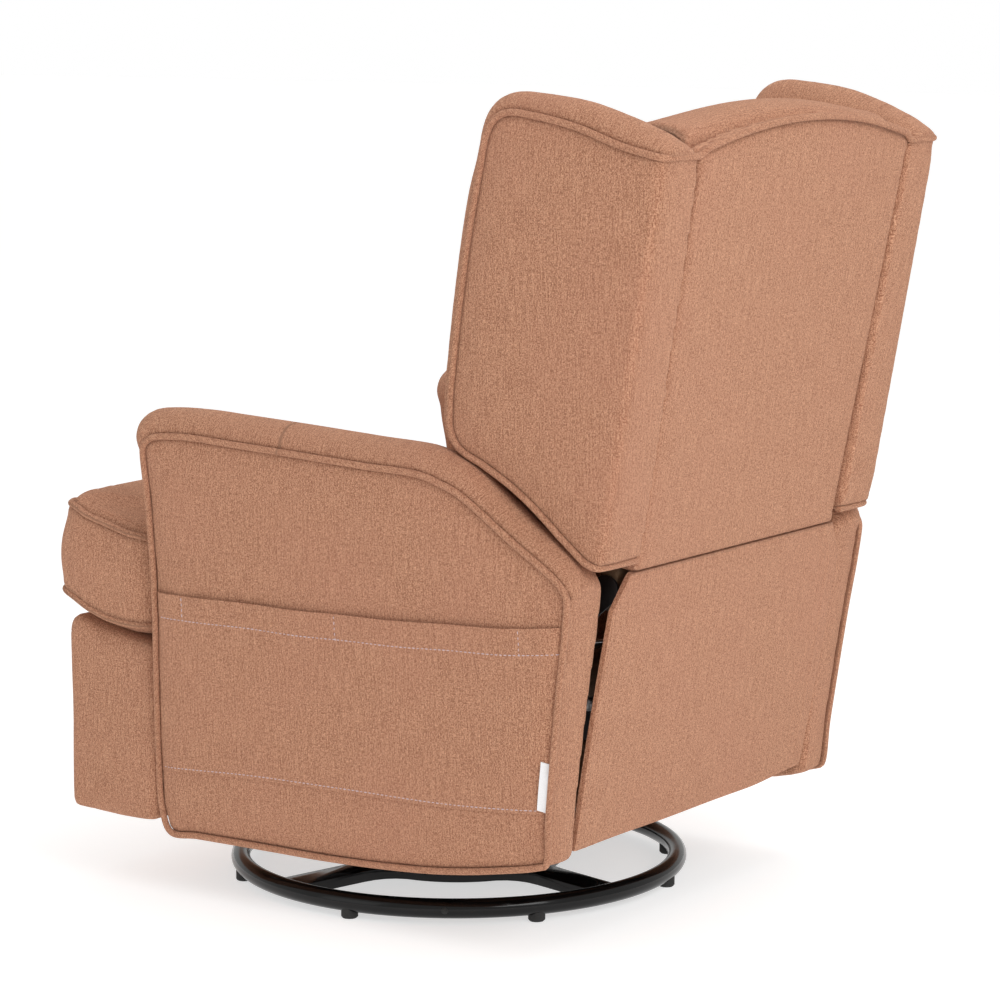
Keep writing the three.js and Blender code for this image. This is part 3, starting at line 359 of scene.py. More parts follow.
def smoothstep(values, low, high):
    share = np.clip((np.asarray(values, float) - low) / (high - low), 0, 1)
    return share * share * (3 - 2 * share)


# Curve through points (centripetal Catmull-Rom), then evenly spaced
def smoothLine(points, step, closed=False):
    return evenly(curveThrough(points, closed), step, closed)


def curveThrough(points, closed=False, fine=16):
    points = np.asarray(points, float)
    count = len(points)
    if closed:
        padded = np.vstack([points[-1], points, points[:2]])
        spans = count
    else:
        padded = np.vstack([2 * points[0] - points[1], points, 2 * points[-1] - points[-2]])
        spans = count - 1
    line = []
    for i in range(spans):
        p = padded[i:i + 4]
        knots = np.concatenate([[0], np.cumsum(np.sqrt(np.linalg.norm(np.diff(p, axis=0), axis=1)) + 1e-6)])
        t = np.linspace(knots[1], knots[2], fine, endpoint=False)[:, None]

        def between(first, last, before, after):
            span = knots[last] - knots[first]
            return (knots[last] - t) / span * before + (t - knots[first]) / span * after
        a = [between(k, k + 1, p[k], p[k + 1]) for k in range(3)]
        b = [between(k, k + 2, a[k], a[k + 1]) for k in range(2)]
        line.append(between(1, 2, b[0], b[1]))
    return np.vstack(line + [points[:1] if closed else points[-1:]])


def evenly(line, step, closed=False):
    line = np.asarray(line, float)
    gone = np.concatenate([[0], np.cumsum(np.linalg.norm(np.diff(line, axis=0), axis=1))])
    count = max(2, int(round(gone[-1] / step)) + 1)
    marks = np.linspace(0, gone[-1], count)
    spaced = np.stack([np.interp(marks, gone, line[:, k]) for k in range(line.shape[1])], 1)
    return spaced[:-1] if closed else spaced


def closedUp(line):
    return np.vstack([line, line[:1]])


# Length along a closed outline at the spots nearest to the points
def lengthAlong(points, outline):
    ahead = np.roll(outline, -1, 0) - outline
    gone = np.concatenate([[0], np.cumsum(np.linalg.norm(ahead, axis=1))])[:-1]
    near = nearestIndex(points, outline)
    tangent = np.roll(outline, -1, 0) - np.roll(outline, 1, 0)
    tangent /= np.linalg.norm(tangent, axis=1)[:, None]
    return gone[near] + ((points - outline[near]) * tangent[near]).sum(1)


def signedArea(outline):
    x, y = outline[:, 0], outline[:, 1]
    return 0.5 * np.sum(x * np.roll(y, -1) - y * np.roll(x, -1))


def outlineNormals(outline):
    along = np.roll(outline, -1, 0) - np.roll(outline, 1, 0)
    along /= np.linalg.norm(along, axis=1)[:, None]
    return np.stack([along[:, 1], -along[:, 0]], 1)


def outward(piece):
    shell = bmesh.new()
    shell.from_mesh(piece.data)
    bmesh.ops.recalc_face_normals(shell, faces=shell.faces)
    shell.to_mesh(piece.data)
    shell.free()
    return piece


# Closed skin through rings of equally many points, with a flat face on each end
def loft(name, rings, material="cloth"):
    rings = np.asarray(rings, float)
    count, around = rings.shape[:2]
    faces = []
    for r in range(count - 1):
        for k in range(around):
            n = (k + 1) % around
            faces.append((r * around + k, r * around + n, (r + 1) * around + n, (r + 1) * around + k))
    faces.append(tuple(reversed(range(around))))
    faces.append(tuple((count - 1) * around + k for k in range(around)))
    return outward(meshPiece(name, rings.reshape(-1, 3), faces, material))


def remesh(piece, voxel, relax=4):
    grid = piece.modifiers.new("Remesh", "REMESH")
    grid.mode = "VOXEL"
    grid.voxel_size = voxel * mm
    ease = piece.modifiers.new("Smooth", "SMOOTH")
    ease.factor = 0.5
    ease.iterations = relax
    return smooth(bakeModifiers(piece))


# A CAD node's merged corners and its faces
def nodeShell(name):
    shell = bmesh.new()
    shell.from_mesh(frame["nodes"][name].data)
    bmesh.ops.remove_doubles(shell, verts=shell.verts, dist=2e-6)
    points = toChair([v.co for v in shell.verts])
    faces = [[v.index for v in f.verts] for f in shell.faces]
    shell.free()
    return points, faces


# Edge loop round the corners of a node that lie on one plane
def planeLoop(name, onPlane):
    points, faces = nodeShell(name)
    flat = onPlane(points)
    uses = {}
    for face in faces:
        if all(flat[i] for i in face):
            for a, b in zip(face, face[1:] + face[:1]):
                uses[frozenset((a, b))] = uses.get(frozenset((a, b)), 0) + 1
    following = {}
    for edge, times in uses.items():
        if times == 1:
            a, b = tuple(edge)
            following.setdefault(a, []).append(b)
            following.setdefault(b, []).append(a)
    start = min(following)
    loop, before, here = [start], None, start
    while True:
        ahead = [n for n in following[here] if n != before]
        before, here = here, ahead[0]
        if here == start:
            return points[loop]
        loop.append(here)


def nearest(points, line):
    tree = KDTree(len(line))
    for index, spot in enumerate(line):
        tree.insert(spot, index)
    tree.balance()
    found = [tree.find(spot) for spot in points]
    return np.array([hit[1] for hit in found]), np.array([hit[2] for hit in found])


def distanceTo(points, line):
    return nearest(points, line)[1]


def nearestIndex(points, line):
    return nearest(points, line)[0]


# Padding: the skin swells under pressure while its seams hold it
clothStyle = {"quality": 3, "mass": 0.3, "pressure": 4.0, "bending": 2, "levels": 10}


def inflate(piece, seams, cap, softness=None, hold=(6, 20), frames=18):
    rest = pointsOf(piece)
    held = 1 - smoothstep(distanceTo(rest, seams), *hold)
    group = piece.vertex_groups.new(name="held")
    levels = clothStyle["levels"]
    for level in range(1, levels + 1):
        members = np.nonzero(np.round(held * levels).astype(int) == level)[0]
        group.add([int(i) for i in members], level / levels, "REPLACE")
    skin = piece.modifiers.new("Cloth", "CLOTH")
    skin.settings.quality = clothStyle["quality"]
    skin.settings.mass = clothStyle["mass"]
    skin.settings.use_pressure = True
    skin.settings.uniform_pressure_force = clothStyle["pressure"]
    skin.settings.effector_weights.gravity = 0
    skin.settings.vertex_group_mass = "held"
    skin.settings.bending_stiffness = clothStyle["bending"]
    skin.collision_settings.use_collision = False
    skin.point_cache.frame_start = 1
    skin.point_cache.frame_end = frames
    for step in range(1, frames + 1):
        scene.frame_set(step)
    bpy.context.view_layer.update()
    result = evaluated(piece)
    moved = toChair(valuesOf(result.vertices, "co")) - rest
    bpy.data.meshes.remove(result)
    far = np.linalg.norm(moved, axis=1)[:, None] + 1e-9
    moved *= cap * np.tanh(far / cap) / far
    if softness is not None:
        moved *= softness(rest)[:, None]
    piece.modifiers.clear()
    piece.vertex_groups.clear()
    scene.frame_set(1)
    setPoints(piece, rest + moved)


# A seam draws the cover in along its line and shades it
def drawSeam(piece, seams, depth=2.4, width=5.0, puff=0.0, puffReach=40.0):
    points = pointsOf(piece)
    normals = valuesOf(piece.data.vertices, "normal")
    away = distanceTo(points, seams)
    groove = np.exp(-(away / width) ** 2)
    lift = puff * smoothstep(away, 4, puffReach)
    setPoints(piece, points + normals * (lift - depth * groove)[:, None])
    addShade(piece, groove)


def addShade(piece, values):
    layer = piece.data.attributes.get("seamShade") or piece.data.attributes.new("seamShade", "FLOAT", "POINT")
    before = np.zeros(len(values), np.float32)
    layer.data.foreach_get("value", before)
    layer.data.foreach_set("value", np.maximum(before, values).astype(np.float32))


# Weave coordinates: choose says which cloth panel a face belongs to, coords give (across, along)
def layWeave(piece, choose, coords):
    mesh = piece.data
    points = pointsOf(piece)
    counts = valuesOf(mesh.polygons, "loop_total", 1, int)
    corners = valuesOf(mesh.loops, "vertex_index", 1, int)
    owner = np.repeat(np.arange(len(counts)), counts)
    panel = choose(toChair(valuesOf(mesh.polygons, "center")), valuesOf(mesh.polygons, "normal"))
    layer = mesh.uv_layers.get("weave") or mesh.uv_layers.new(name="weave")
    spots = np.zeros((len(corners), 2))
    for number, place in enumerate(coords):
        mine = panel[owner] == number
        if mine.any():
            spots[mine] = place(points[corners[mine]]) * mm + number * 0.37
    layer.data.foreach_set("uv", spots.ravel().astype(np.float32))
    return piece


def boxWeave(piece):
    def choose(centre, normal):
        return np.abs(normal).argmax(1)
    return layWeave(piece, choose, [lambda p: p[:, [1, 2]], lambda p: p[:, [0, 2]], lambda p: p[:, [0, 1]]])


# Node trees that follow a path: a tube (piping, wire) and a row of stitches
def newTree(name, sockets):
    tree = bpy.data.node_groups.new(name, "GeometryNodeTree")
    tree.interface.new_socket("Geometry", in_out="INPUT", socket_type="NodeSocketGeometry")
    for label, kind, value in sockets:
        socket = tree.interface.new_socket(label, in_out="INPUT", socket_type=kind)
        if value is not None:
            socket.default_value = value
    tree.interface.new_socket("Geometry", in_out="OUTPUT", socket_type="NodeSocketGeometry")
    tree.is_modifier = True

    def node(kind, settings=None, inputs=None):
        made = tree.nodes.new(kind)
        for key, value in (settings or {}).items():
            setattr(made, key, value)
        for key, value in (inputs or {}).items():
            if isinstance(value, bpy.types.NodeSocket):
                tree.links.new(value, made.inputs[key])
            else:
                made.inputs[key].default_value = value
        return made
    given, result = node("NodeGroupInput"), node("NodeGroupOutput")

    def finish(geometry):
        shaded = node("GeometryNodeSetShadeSmooth", {}, {"Geometry": geometry})
        solid = node("GeometryNodeRealizeInstances", {}, {"Geometry": shaded.outputs[0]})
        painted = node("GeometryNodeSetMaterial", {}, {
            "Geometry": solid.outputs[0], "Material": given.outputs["Material"]})
        tree.links.new(painted.outputs[0], result.inputs[0])
        return tree
    return tree, node, given, finish


biasAngle = math.radians(38)  # piping is cut on the bias


def tubeTree():
    tree, node, given, finish = newTree("tubeOnPath", [
        ("Radius", "NodeSocketFloat", 0.004), ("Step", "NodeSocketFloat", 0.005),
        ("Sides", "NodeSocketInt", 12), ("Material", "NodeSocketMaterial", None)])
    path = node("GeometryNodeMeshToCurve", {}, {"Mesh": given.outputs["Geometry"]})
    spaced = node("GeometryNodeResampleCurve", {"mode": "LENGTH"}, {
        "Curve": path.outputs["Curve"], "Length": given.outputs["Step"]})

    # Length along a curve, kept for the weave coordinates
    def keptLength(curve):
        length = node("GeometryNodeSplineParameter")
        kept = node("GeometryNodeCaptureAttribute", {"domain": "POINT"}, {"Geometry": curve})
        kept.capture_items.new("FLOAT", "Gone")
        tree.links.new(length.outputs["Length"], kept.inputs["Gone"])
        return kept
    along = keptLength(spaced.outputs[0])
    circle = node("GeometryNodeCurvePrimitiveCircle", {"mode": "RADIUS"}, {
        "Resolution": given.outputs["Sides"], "Radius": given.outputs["Radius"]})
    around = keptLength(circle.outputs[0])
    tube = node("GeometryNodeCurveToMesh", {}, {
        "Curve": along.outputs["Geometry"], "Profile Curve": around.outputs["Geometry"], "Fill Caps": True})
    slant = node("ShaderNodeCombineXYZ", {}, {0: around.outputs["Gone"], 1: along.outputs["Gone"]})
    turned = node("ShaderNodeVectorRotate", {"rotation_type": "Z_AXIS"}, {
        "Vector": slant.outputs[0], "Angle": biasAngle})
    stored = node("GeometryNodeStoreNamedAttribute", {"data_type": "FLOAT2", "domain": "CORNER"}, {
        "Geometry": tube.outputs[0], "Name": "weave", "Value": turned.outputs[0]})
    return finish(stored.outputs[0])


def stitchTree():
    _, node, given, finish = newTree("stitchRow", [
        ("Pitch", "NodeSocketFloat", 0.0045), ("Length", "NodeSocketFloat", 0.003),
        ("Thickness", "NodeSocketFloat", 0.0006), ("Seed", "NodeSocketInt", 3),
        ("Material", "NodeSocketMaterial", None)])
    path = node("GeometryNodeMeshToCurve", {}, {"Mesh": given.outputs["Geometry"]})
    places = node("GeometryNodeCurveToPoints", {"mode": "LENGTH"}, {
        "Curve": path.outputs["Curve"], "Length": given.outputs["Pitch"]})
    bead = node("GeometryNodeMeshUVSphere", {}, {"Segments": 6, "Rings": 5, "Radius": 0.5})
    facing = node("FunctionNodeAlignRotationToVector", {"axis": "X"}, {"Vector": places.outputs["Tangent"]})
    size = node("ShaderNodeCombineXYZ", {}, {
        0: given.outputs["Length"], 1: given.outputs["Thickness"], 2: given.outputs["Thickness"]})
    vary = node("FunctionNodeRandomValue", {"data_type": "FLOAT"}, {"Seed": given.outputs["Seed"]})
    vary.inputs[2].default_value, vary.inputs[3].default_value = 0.78, 1.1
    scaled = node("ShaderNodeVectorMath", {"operation": "SCALE"}, {
        0: size.outputs[0], "Scale": vary.outputs[1]})
    rows = node("GeometryNodeInstanceOnPoints", {}, {
        "Points": places.outputs["Points"], "Instance": bead.outputs["Mesh"],
        "Rotation": facing.outputs[0], "Scale": scaled.outputs[0]})
    return finish(rows.outputs[0])


trees = {"tube": tubeTree(), "stitches": stitchTree()}


# Runs a node tree over one or more paths and keeps the plain mesh
def alongPaths(name, tree, paths, material, closed=False, **sizes):
    points, edges = [], []
    for path in paths:
        start = len(points)
        points.extend(path)
        edges.extend((start + i, start + i + 1) for i in range(len(path) - 1))
        if closed:
            edges.append((start + len(path) - 1, start))
    mesh = bpy.data.meshes.new(name)
    mesh.from_pydata([tuple(p) for p in toScene(points)], edges, [])
    piece = addObject(name, mesh)
    made = piece.modifiers.new("Along", "NODES")
    made.node_group = trees[tree]
    items = trees[tree].interface.items_tree
    labels = {item.name: item.identifier for item in items if item.in_out == "INPUT"}
    for label, value in {**sizes, "Material": materials[material]}.items():
        made[labels[label]] = value
    return bakeModifiers(piece)


def finishPiece(piece, body, slot="upholstery", replaces=()):
    if replaces:
        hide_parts(*replaces)
    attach(piece, body)
    return piece


def mirrored(piece):
    twin = addObject(piece.name.replace("Left", "Right"), piece.data.copy())
    setPoints(twin, pointsOf(piece) * (-1, 1, 1))
    twin.data.flip_normals()
    return twin


def bothSides(*pieces):
    return ("left", *pieces), ("right", *[mirrored(piece) for piece in pieces])


pipeStyle = {"radius": 4.3, "step": 4, "sides": 12}


def pipingAlong(name, paths, closed=False):
    return alongPaths(name, "tube", paths, "piping", closed, Radius=pipeStyle["radius"] * mm,
                      Step=pipeStyle["step"] * mm, Sides=pipeStyle["sides"])


# Inset of a rounded edge, short of its end by the given distance
def rounding(radius, short):
    return radius - np.sqrt(np.maximum(0, radius ** 2 - np.maximum(0, short) ** 2))


# Slab between two side planes whose edge swells between them
def slabRings(outline, stations, innerX, outerX, swell, tuck=None, ridge=1.0):
    normals = outlineNormals(outline)
    rings = []
    for k in range(stations + 1):
        turn = math.pi * k / stations
        across = (1 - math.cos(turn)) / 2
        raised = np.sin(np.arccos(1 - 2 * across ** np.broadcast_to(ridge, len(outline))))
        moved = outline + normals * (swell(outline, normals) * raised)[:, None]
        x = innerX(moved) * (1 - across) + outerX(moved) * across
        if tuck is not None:
            moved = moved - normals * tuck(x, outline, normals)[:, None]
        rings.append(np.column_stack([x, moved]))
    return rings


# Weave of a slab: side panels keep (y, z), the band runs with the outline
def slabWeave(piece, outline, middleX, crown):
    normals2 = outlineNormals(outline)
    outline3 = np.column_stack([np.zeros(len(outline)), outline])

    def outside(points):
        near = nearestIndex(points * (0, 1, 1), outline3)
        return ((points[:, 1:] - outline[near]) * normals2[near]).sum(1)

    def choose(centres, normals):
        side = (np.abs(normals[:, 0]) > 0.62) & (outside(centres) < 1.0)
        rear = (normals[:, 1] > 0.62) & ~side
        return np.where(rear, 2, np.where(side, 0, 1))

    def band(points):
        beyond = outside(points)
        outer = points[:, 0] > middleX
        along = np.where(outer, -points[:, 0] + beyond, -points[:, 0] + 2 * crown - beyond)
        return np.column_stack([lengthAlong(points * (0, 1, 1), outline3), along])
    layWeave(piece, choose, [
        lambda p: p[:, [1, 2]], band, lambda p: np.column_stack([p[:, 1] - p[:, 0], p[:, 2]])])


def gridFaces(rows, columns):
    count = (rows + 1) * (columns + 1)

    def at(i, j, layer):
        return layer * count + i * (columns + 1) + j
    faces = []
    for i in range(rows):
        for j in range(columns):
            faces.append((at(i, j, 1), at(i, j + 1, 1), at(i + 1, j + 1, 1), at(i + 1, j, 1)))
            faces.append((at(i, j, 0), at(i + 1, j, 0), at(i + 1, j + 1, 0), at(i, j + 1, 0)))
    for j in range(columns):
        faces.append((at(0, j, 0), at(0, j + 1, 0), at(0, j + 1, 1), at(0, j, 1)))
        faces.append((at(rows, j, 0), at(rows, j, 1), at(rows, j + 1, 1), at(rows, j + 1, 0)))
    for i in range(rows):
        faces.append((at(i, 0, 0), at(i, 0, 1), at(i + 1, 0, 1), at(i + 1, 0, 0)))
        faces.append((at(i, columns, 0), at(i + 1, columns, 0), at(i + 1, columns, 1), at(i, columns, 1)))
    return faces


# A thin piece between two grids of points
def sheetPiece(name, inner, outer, material="cloth"):
    rows, columns = inner.shape[0] - 1, inner.shape[1] - 1
    points = np.vstack([inner.reshape(-1, 3), outer.reshape(-1, 3)])
    return outward(meshPiece(name, points, gridFaces(rows, columns), material))


print("mesh tools ready")

# Arms: flat flared outer panel, padded top band, piping round the outer panel
armStyle = {
    "inner": 280, "outer": 333, "flare": 0.0593, "bottom": 84, "crown": 31, "rearCrown": 22,
    "frontCrown": 12, "frontRound": 32, "ridge": 1.5, "rearRound": 6, "stations": 22, "voxel": 5,
    "outlineStep": 7, "groove": 3.0, "panelPuff": 2.4, "cap": 5, "middle": 310, "mitre": (18, -2, 22),
    "rearFrom": 300, "rearBelow": 455, "frontBefore": -150,
}


def armOuterX(z):
    return armStyle["outer"] + armStyle["flare"] * (z - armStyle["bottom"])


def armSwell(outline, normals):
    y, z = outline[:, 0], outline[:, 1]
    front, rear, low, high = y.min(), y.max(), z.min(), z.max()
    depth, height = rear - front, high - low
    toRear = smoothstep(y, front + depth * 0.66, front + depth * 0.9)
    top = armStyle["crown"] * (1 - toRear) + armStyle["rearCrown"] * toRear
    top = top * np.maximum(0, normals[:, 1]) ** 0.7
    above = smoothstep(z, low + height * 0.8, low + height * 0.93)
    return top + armStyle["frontCrown"] * np.maximum(0, -normals[:, 0]) * above


def buildArms():
    style = armStyle
    loop = planeLoop("arm_left", lambda p: np.abs(p[:, 0] - armOuterX(p[:, 2])) < 0.05)[:, 1:]
    if signedArea(loop) < 0:
        loop = loop[::-1]
    outline = smoothLine(loop, style["outlineStep"], closed=True)

    def inner(spots):
        return np.full(len(spots), float(style["inner"]))

    def tuck(x, line, normals):
        reach = x - style["inner"]
        rear = rounding(style["rearRound"], style["rearRound"] - reach) * (normals[:, 0] > 0.6)
        front = rounding(style["frontRound"], style["frontRound"] - reach) * np.maximum(0, -normals[:, 0])
        return rear + front
    rings = slabRings(outline, style["stations"], inner, lambda spots: armOuterX(spots[:, 1]), armSwell,
                      tuck, style["ridge"])
    arm = remesh(loft("armCoverLeft", rings), style["voxel"])
    seamOuter = np.column_stack([armOuterX(outline[:, 1]), outline])
    seamInner = np.column_stack([inner(outline), outline])
    corner = outline[np.argmax(outline[:, 0] + 0.15 * (outline[:, 1] - 460))]
    across, back, up = style["mitre"]
    mitre = evenly([[armOuterX(corner[1]), *corner],
                    [style["inner"] + across, corner[0] + back, corner[1] + up]], 2)
    seams = evenly(closedUp(seamOuter), 3)
    held = np.vstack([seams, evenly(closedUp(seamInner), 3)])
    inflate(arm, held, style["cap"], frames=9)
    drawSeam(arm, seams, style["groove"], 4.6, style["panelPuff"], 34)
    drawSeam(arm, mitre, 1.6, 3.2)
    slabWeave(arm, outline, style["middle"], style["crown"])
    piping = pipingAlong("armPipingLeft", [smoothLine(seamOuter, 4, closed=True)], closed=True)
    for side, cover, cord in bothSides(arm, piping):
        finishPiece(cover, "seat", replaces=[f"arm_{side}"])
        finishPiece(cord, "seat")
    return arm, outline


armCover, armOutline = buildArms()
print("arms ready")

# Flat pocket on each arm, hemmed at its top edge, with pale stitching
pocketStyle = {
    "top": [(-219, 404), (-146, 404.5), (-72, 406), (4, 405), (83, 407), (160, 408), (238, 412), (318, 415),
            (398, 423)],
    "low": [(-222, 167), (-86, 175), (74, 178), (227, 180), (368, 189)], "lowEnds": (175, 189),
    "topEnds": (404, 423), "hem": 33, "thick": 2.2, "rows": 64, "columns": 150,
    "pinches": (-178, 68, 343), "inset": 5.5, "stitch": 4.8, "pitch": 6.4, "thread": 1.3, "fold": 1.4,
    "hemFrom": -217, "hemTo": 398, "rim": 0.8, "seed": 3, "weaveShift": (13, 7), "hemLift": 0.9,
    "slack": 2.2, "slackWide": 14, "slackDeep": 22, "hemDip": 1.3, "hemDipWide": 1.6, "foldWide": 3.5,
    "tack": 0.9, "tackWide": 2.5,
}


def heightCurve(line):
    curve = smoothLine(line, 4)
    return lambda y: np.interp(y, curve[:, 0], curve[:, 1])


def skinTree(piece):
    mesh = piece.data
    faces = [tuple(p.vertices) for p in mesh.polygons]
    return BVHTree.FromPolygons([Vector(p) for p in pointsOf(piece)], faces)


def skinX(tree, y, z, reach=500):
    hit = tree.ray_cast(Vector((reach, y, z)), Vector((-1, 0, 0)))
    return hit[0].x if hit[0] is not None else None


# A closed line moved onto a cover's skin, with its height above it
def settled(line, piece, lift):
    tree = skinTree(piece)
    spots = []
    for spot in evenly(line, 6, closed=True):
        place, normal, _, _ = tree.find_nearest(Vector(spot))
        spots.append(place + normal * lift)
    spots = np.array(spots)
    spots = (np.roll(spots, 1, 0) + 2 * spots + np.roll(spots, -1, 0)) / 4
    return smoothLine(spots, 4, closed=True)


def rearEdgeAt(outline, z):
    rear = outline[outline[:, 0] > armStyle["rearFrom"]]
    rear = rear[np.argsort(rear[:, 1])]
    rear = rear[rear[:, 1] < armStyle["rearBelow"]]
    return np.interp(z, rear[:, 1], rear[:, 0])


def frontEdgeAt(outline, z):
    front = outline[outline[:, 0] < armStyle["frontBefore"]]
    front = front[np.argsort(front[:, 1])]
    return np.interp(z, front[:, 1], front[:, 0])


# How far the pocket's cloth stands off the arm: hem, slack between the tacks, folded rim, tacks
def pocketLift(y, nearTop, edge):
    style = pocketStyle
    hem = smoothstep(nearTop, style["hem"] + 1.5, style["hem"] - 2)
    toPinch = min(abs(y - p) for p in style["pinches"])
    droop = 1 - np.exp(-toPinch / style["slackWide"])
    lift = style["thick"] + style["hemLift"] * hem
    lift = lift + style["slack"] * droop * math.exp(-nearTop / style["slackDeep"])
    lift -= style["hemDip"] * math.exp(-((nearTop - style["hem"]) / style["hemDipWide"]) ** 2)
    lift += style["fold"] * math.exp(-(nearTop / style["foldWide"]) ** 2)
    lift -= style["tack"] * math.exp(-toPinch / style["tackWide"]) * hem
    return lift * min(1, 0.25 + edge / 3)


def buildPockets():
    style = pocketStyle
    tree = skinTree(armCover)
    topAt, lowAt = heightCurve(style["top"]), heightCurve(style["low"])
    columns, rows = style["columns"], style["rows"]
    grid = np.zeros((rows + 1, columns + 1, 3))
    lift = np.zeros((rows + 1, columns + 1))
    for j in range(columns + 1):
        share = j / columns
        for i in range(rows + 1):
            up = i / rows
            z0, z1 = (a + (b - a) * share for a, b in (style["lowEnds"], style["topEnds"]))
            z = z0 + (z1 - z0) * up
            y = frontEdgeAt(armOutline, z) + style["inset"]
            y += (rearEdgeAt(armOutline, z) - style["inset"] - y) * share
            top, low = topAt(y), lowAt(y)
            z = low + (top - low) * up
            x = skinX(tree, y, z)
            grid[i, j] = (armOuterX(z) if x is None else x, y, z)
            lift[i, j] = pocketLift(y, top - z, min(share, 1 - share) * columns)
    outer = grid.copy()
    outer[:, :, 0] += lift
    inner = grid.copy()
    inner[:, :, 0] += np.maximum(0.25, lift - style["thick"]) * 0.9
    pocket = sheetPiece("pocketLeft", inner, outer)
    shell = bmesh.new()
    shell.from_mesh(pocket.data)
    edges = [e for e in shell.edges if e.calc_face_angle(0) > 0.8]
    bmesh.ops.bevel(shell, geom=edges, offset=style["rim"] * mm, segments=2, affect="EDGES", profile=0.5)
    shell.to_mesh(pocket.data)
    shell.free()
    smooth(pocket, 40)
    layWeave(pocket, lambda c, n: np.zeros(len(c), int), [lambda p: p[:, [1, 2]] + style["weaveShift"]])
    face = skinTree(pocket)

    def stitchPath(line):
        path = []
        for y, z in line:
            x = skinX(face, y, z)
            if x is not None:
                path.append((x + 0.15, y, z))
        return path
    ys = np.arange(grid[0, 2, 1], grid[0, -3, 1], 5.0)
    hemLine = [(y, topAt(y) - style["hem"]) for y in np.arange(style["hemFrom"], style["hemTo"], 5.0)]
    lowLine = [(y, lowAt(y) + 5) for y in ys]
    upright = [[(p, z) for z in np.arange(topAt(p) - style["hem"], topAt(p) - 1, 4.0)]
               for p in style["pinches"]]
    paths = [stitchPath(line) for line in [hemLine, lowLine, *upright]]
    stitches = alongPaths("pocketStitchesLeft", "stitches", [p for p in paths if len(p) > 1], "thread",
                          Pitch=style["pitch"] * mm, Length=style["stitch"] * mm,
                          Thickness=style["thread"] * mm, Seed=style["seed"])
    for side, panel, row in bothSides(pocket, stitches):
        finishPiece(panel, "seat", replaces=[f"side_pocket_{side}"])
        finishPiece(row, "seat")
    return face


pocketFace = buildPockets()
print("pockets ready")

# Wings and rear panel lean with the back
backStyle = {
    "y": 434, "z": 494.6, "slope": 0.1951, "outerLow": 328, "outerHigh": 333, "innerLow": 244.5,
    "innerHigh": 258.5, "frontTaper": 26, "wingDepth": 305, "wingLow": 493, "wingHeight": 533,
    "crown": 22, "rearCrown": 6.5, "rearEase": ((9, 488, 527), (5, 455, 495)), "frontCrown": 11,
    "midFront": 6, "lowCrown": 2, "ridge": (1.4, 1.15), "corner": 14, "innerRound": 28, "lowRearShift": 7,
    "shiftReach": 484, "lowCorner": (448, 497.3), "highCorner": (527, 977), "middle": 296,
    "stations": 26, "step": 7, "voxel": 5, "groove": 3.0, "cap": 5, "panelPuff": 2.6,
    "panelLow": -20, "panelHigh": 530, "arch": 33, "rimSlack": 0.6, "pipeHalf": 246,
    "panelProfile": [(-22, 0), (-16, 0), (-9, 0), (-5.5, 0.8), (-2.5, 2.6), (-0.5, 5.5), (0.8, 10),
                     (1.8, 18), (2.8, 40)],
    "wrinkles": ((222, 0.028, -235, 60, 0.9), (196, -0.035, -120, 215, 0.7), (342, 0.02, -90, 190, 0.6)),
}
leanAngle = math.atan(backStyle["slope"])


def wingInnerX(z, y=None):
    style = backStyle
    share = (z - style["wingLow"]) / style["wingHeight"]
    plane = style["innerLow"] + (style["innerHigh"] - style["innerLow"]) * share
    if y is None:
        return plane
    ahead = np.maximum(0, style["y"] + style["slope"] * (z - style["z"]) - y) / style["wingDepth"]
    return plane + style["frontTaper"] * ahead


def wingOuterX(z):
    share = (z - backStyle["wingLow"]) / backStyle["wingHeight"]
    return backStyle["outerLow"] + (backStyle["outerHigh"] - backStyle["outerLow"]) * share


def leanPoints(x, across, up):
    c, s = math.cos(leanAngle), math.sin(leanAngle)
    x, across, up = (np.asarray(v, float) for v in (x, across, up))
    return np.stack(np.broadcast_arrays(x, backStyle["y"] + across * c + up * s,
                                        backStyle["z"] - across * s + up * c), -1)


def leanOf(points):
    c, s = math.cos(leanAngle), math.sin(leanAngle)
    y, z = points[:, 1] - backStyle["y"], points[:, 2] - backStyle["z"]
    return np.column_stack([points[:, 0], y * c - z * s, y * s + z * c])


def archAt(x, half):
    return backStyle["panelHigh"] - backStyle["arch"] * (np.asarray(x, float) / half) ** 2


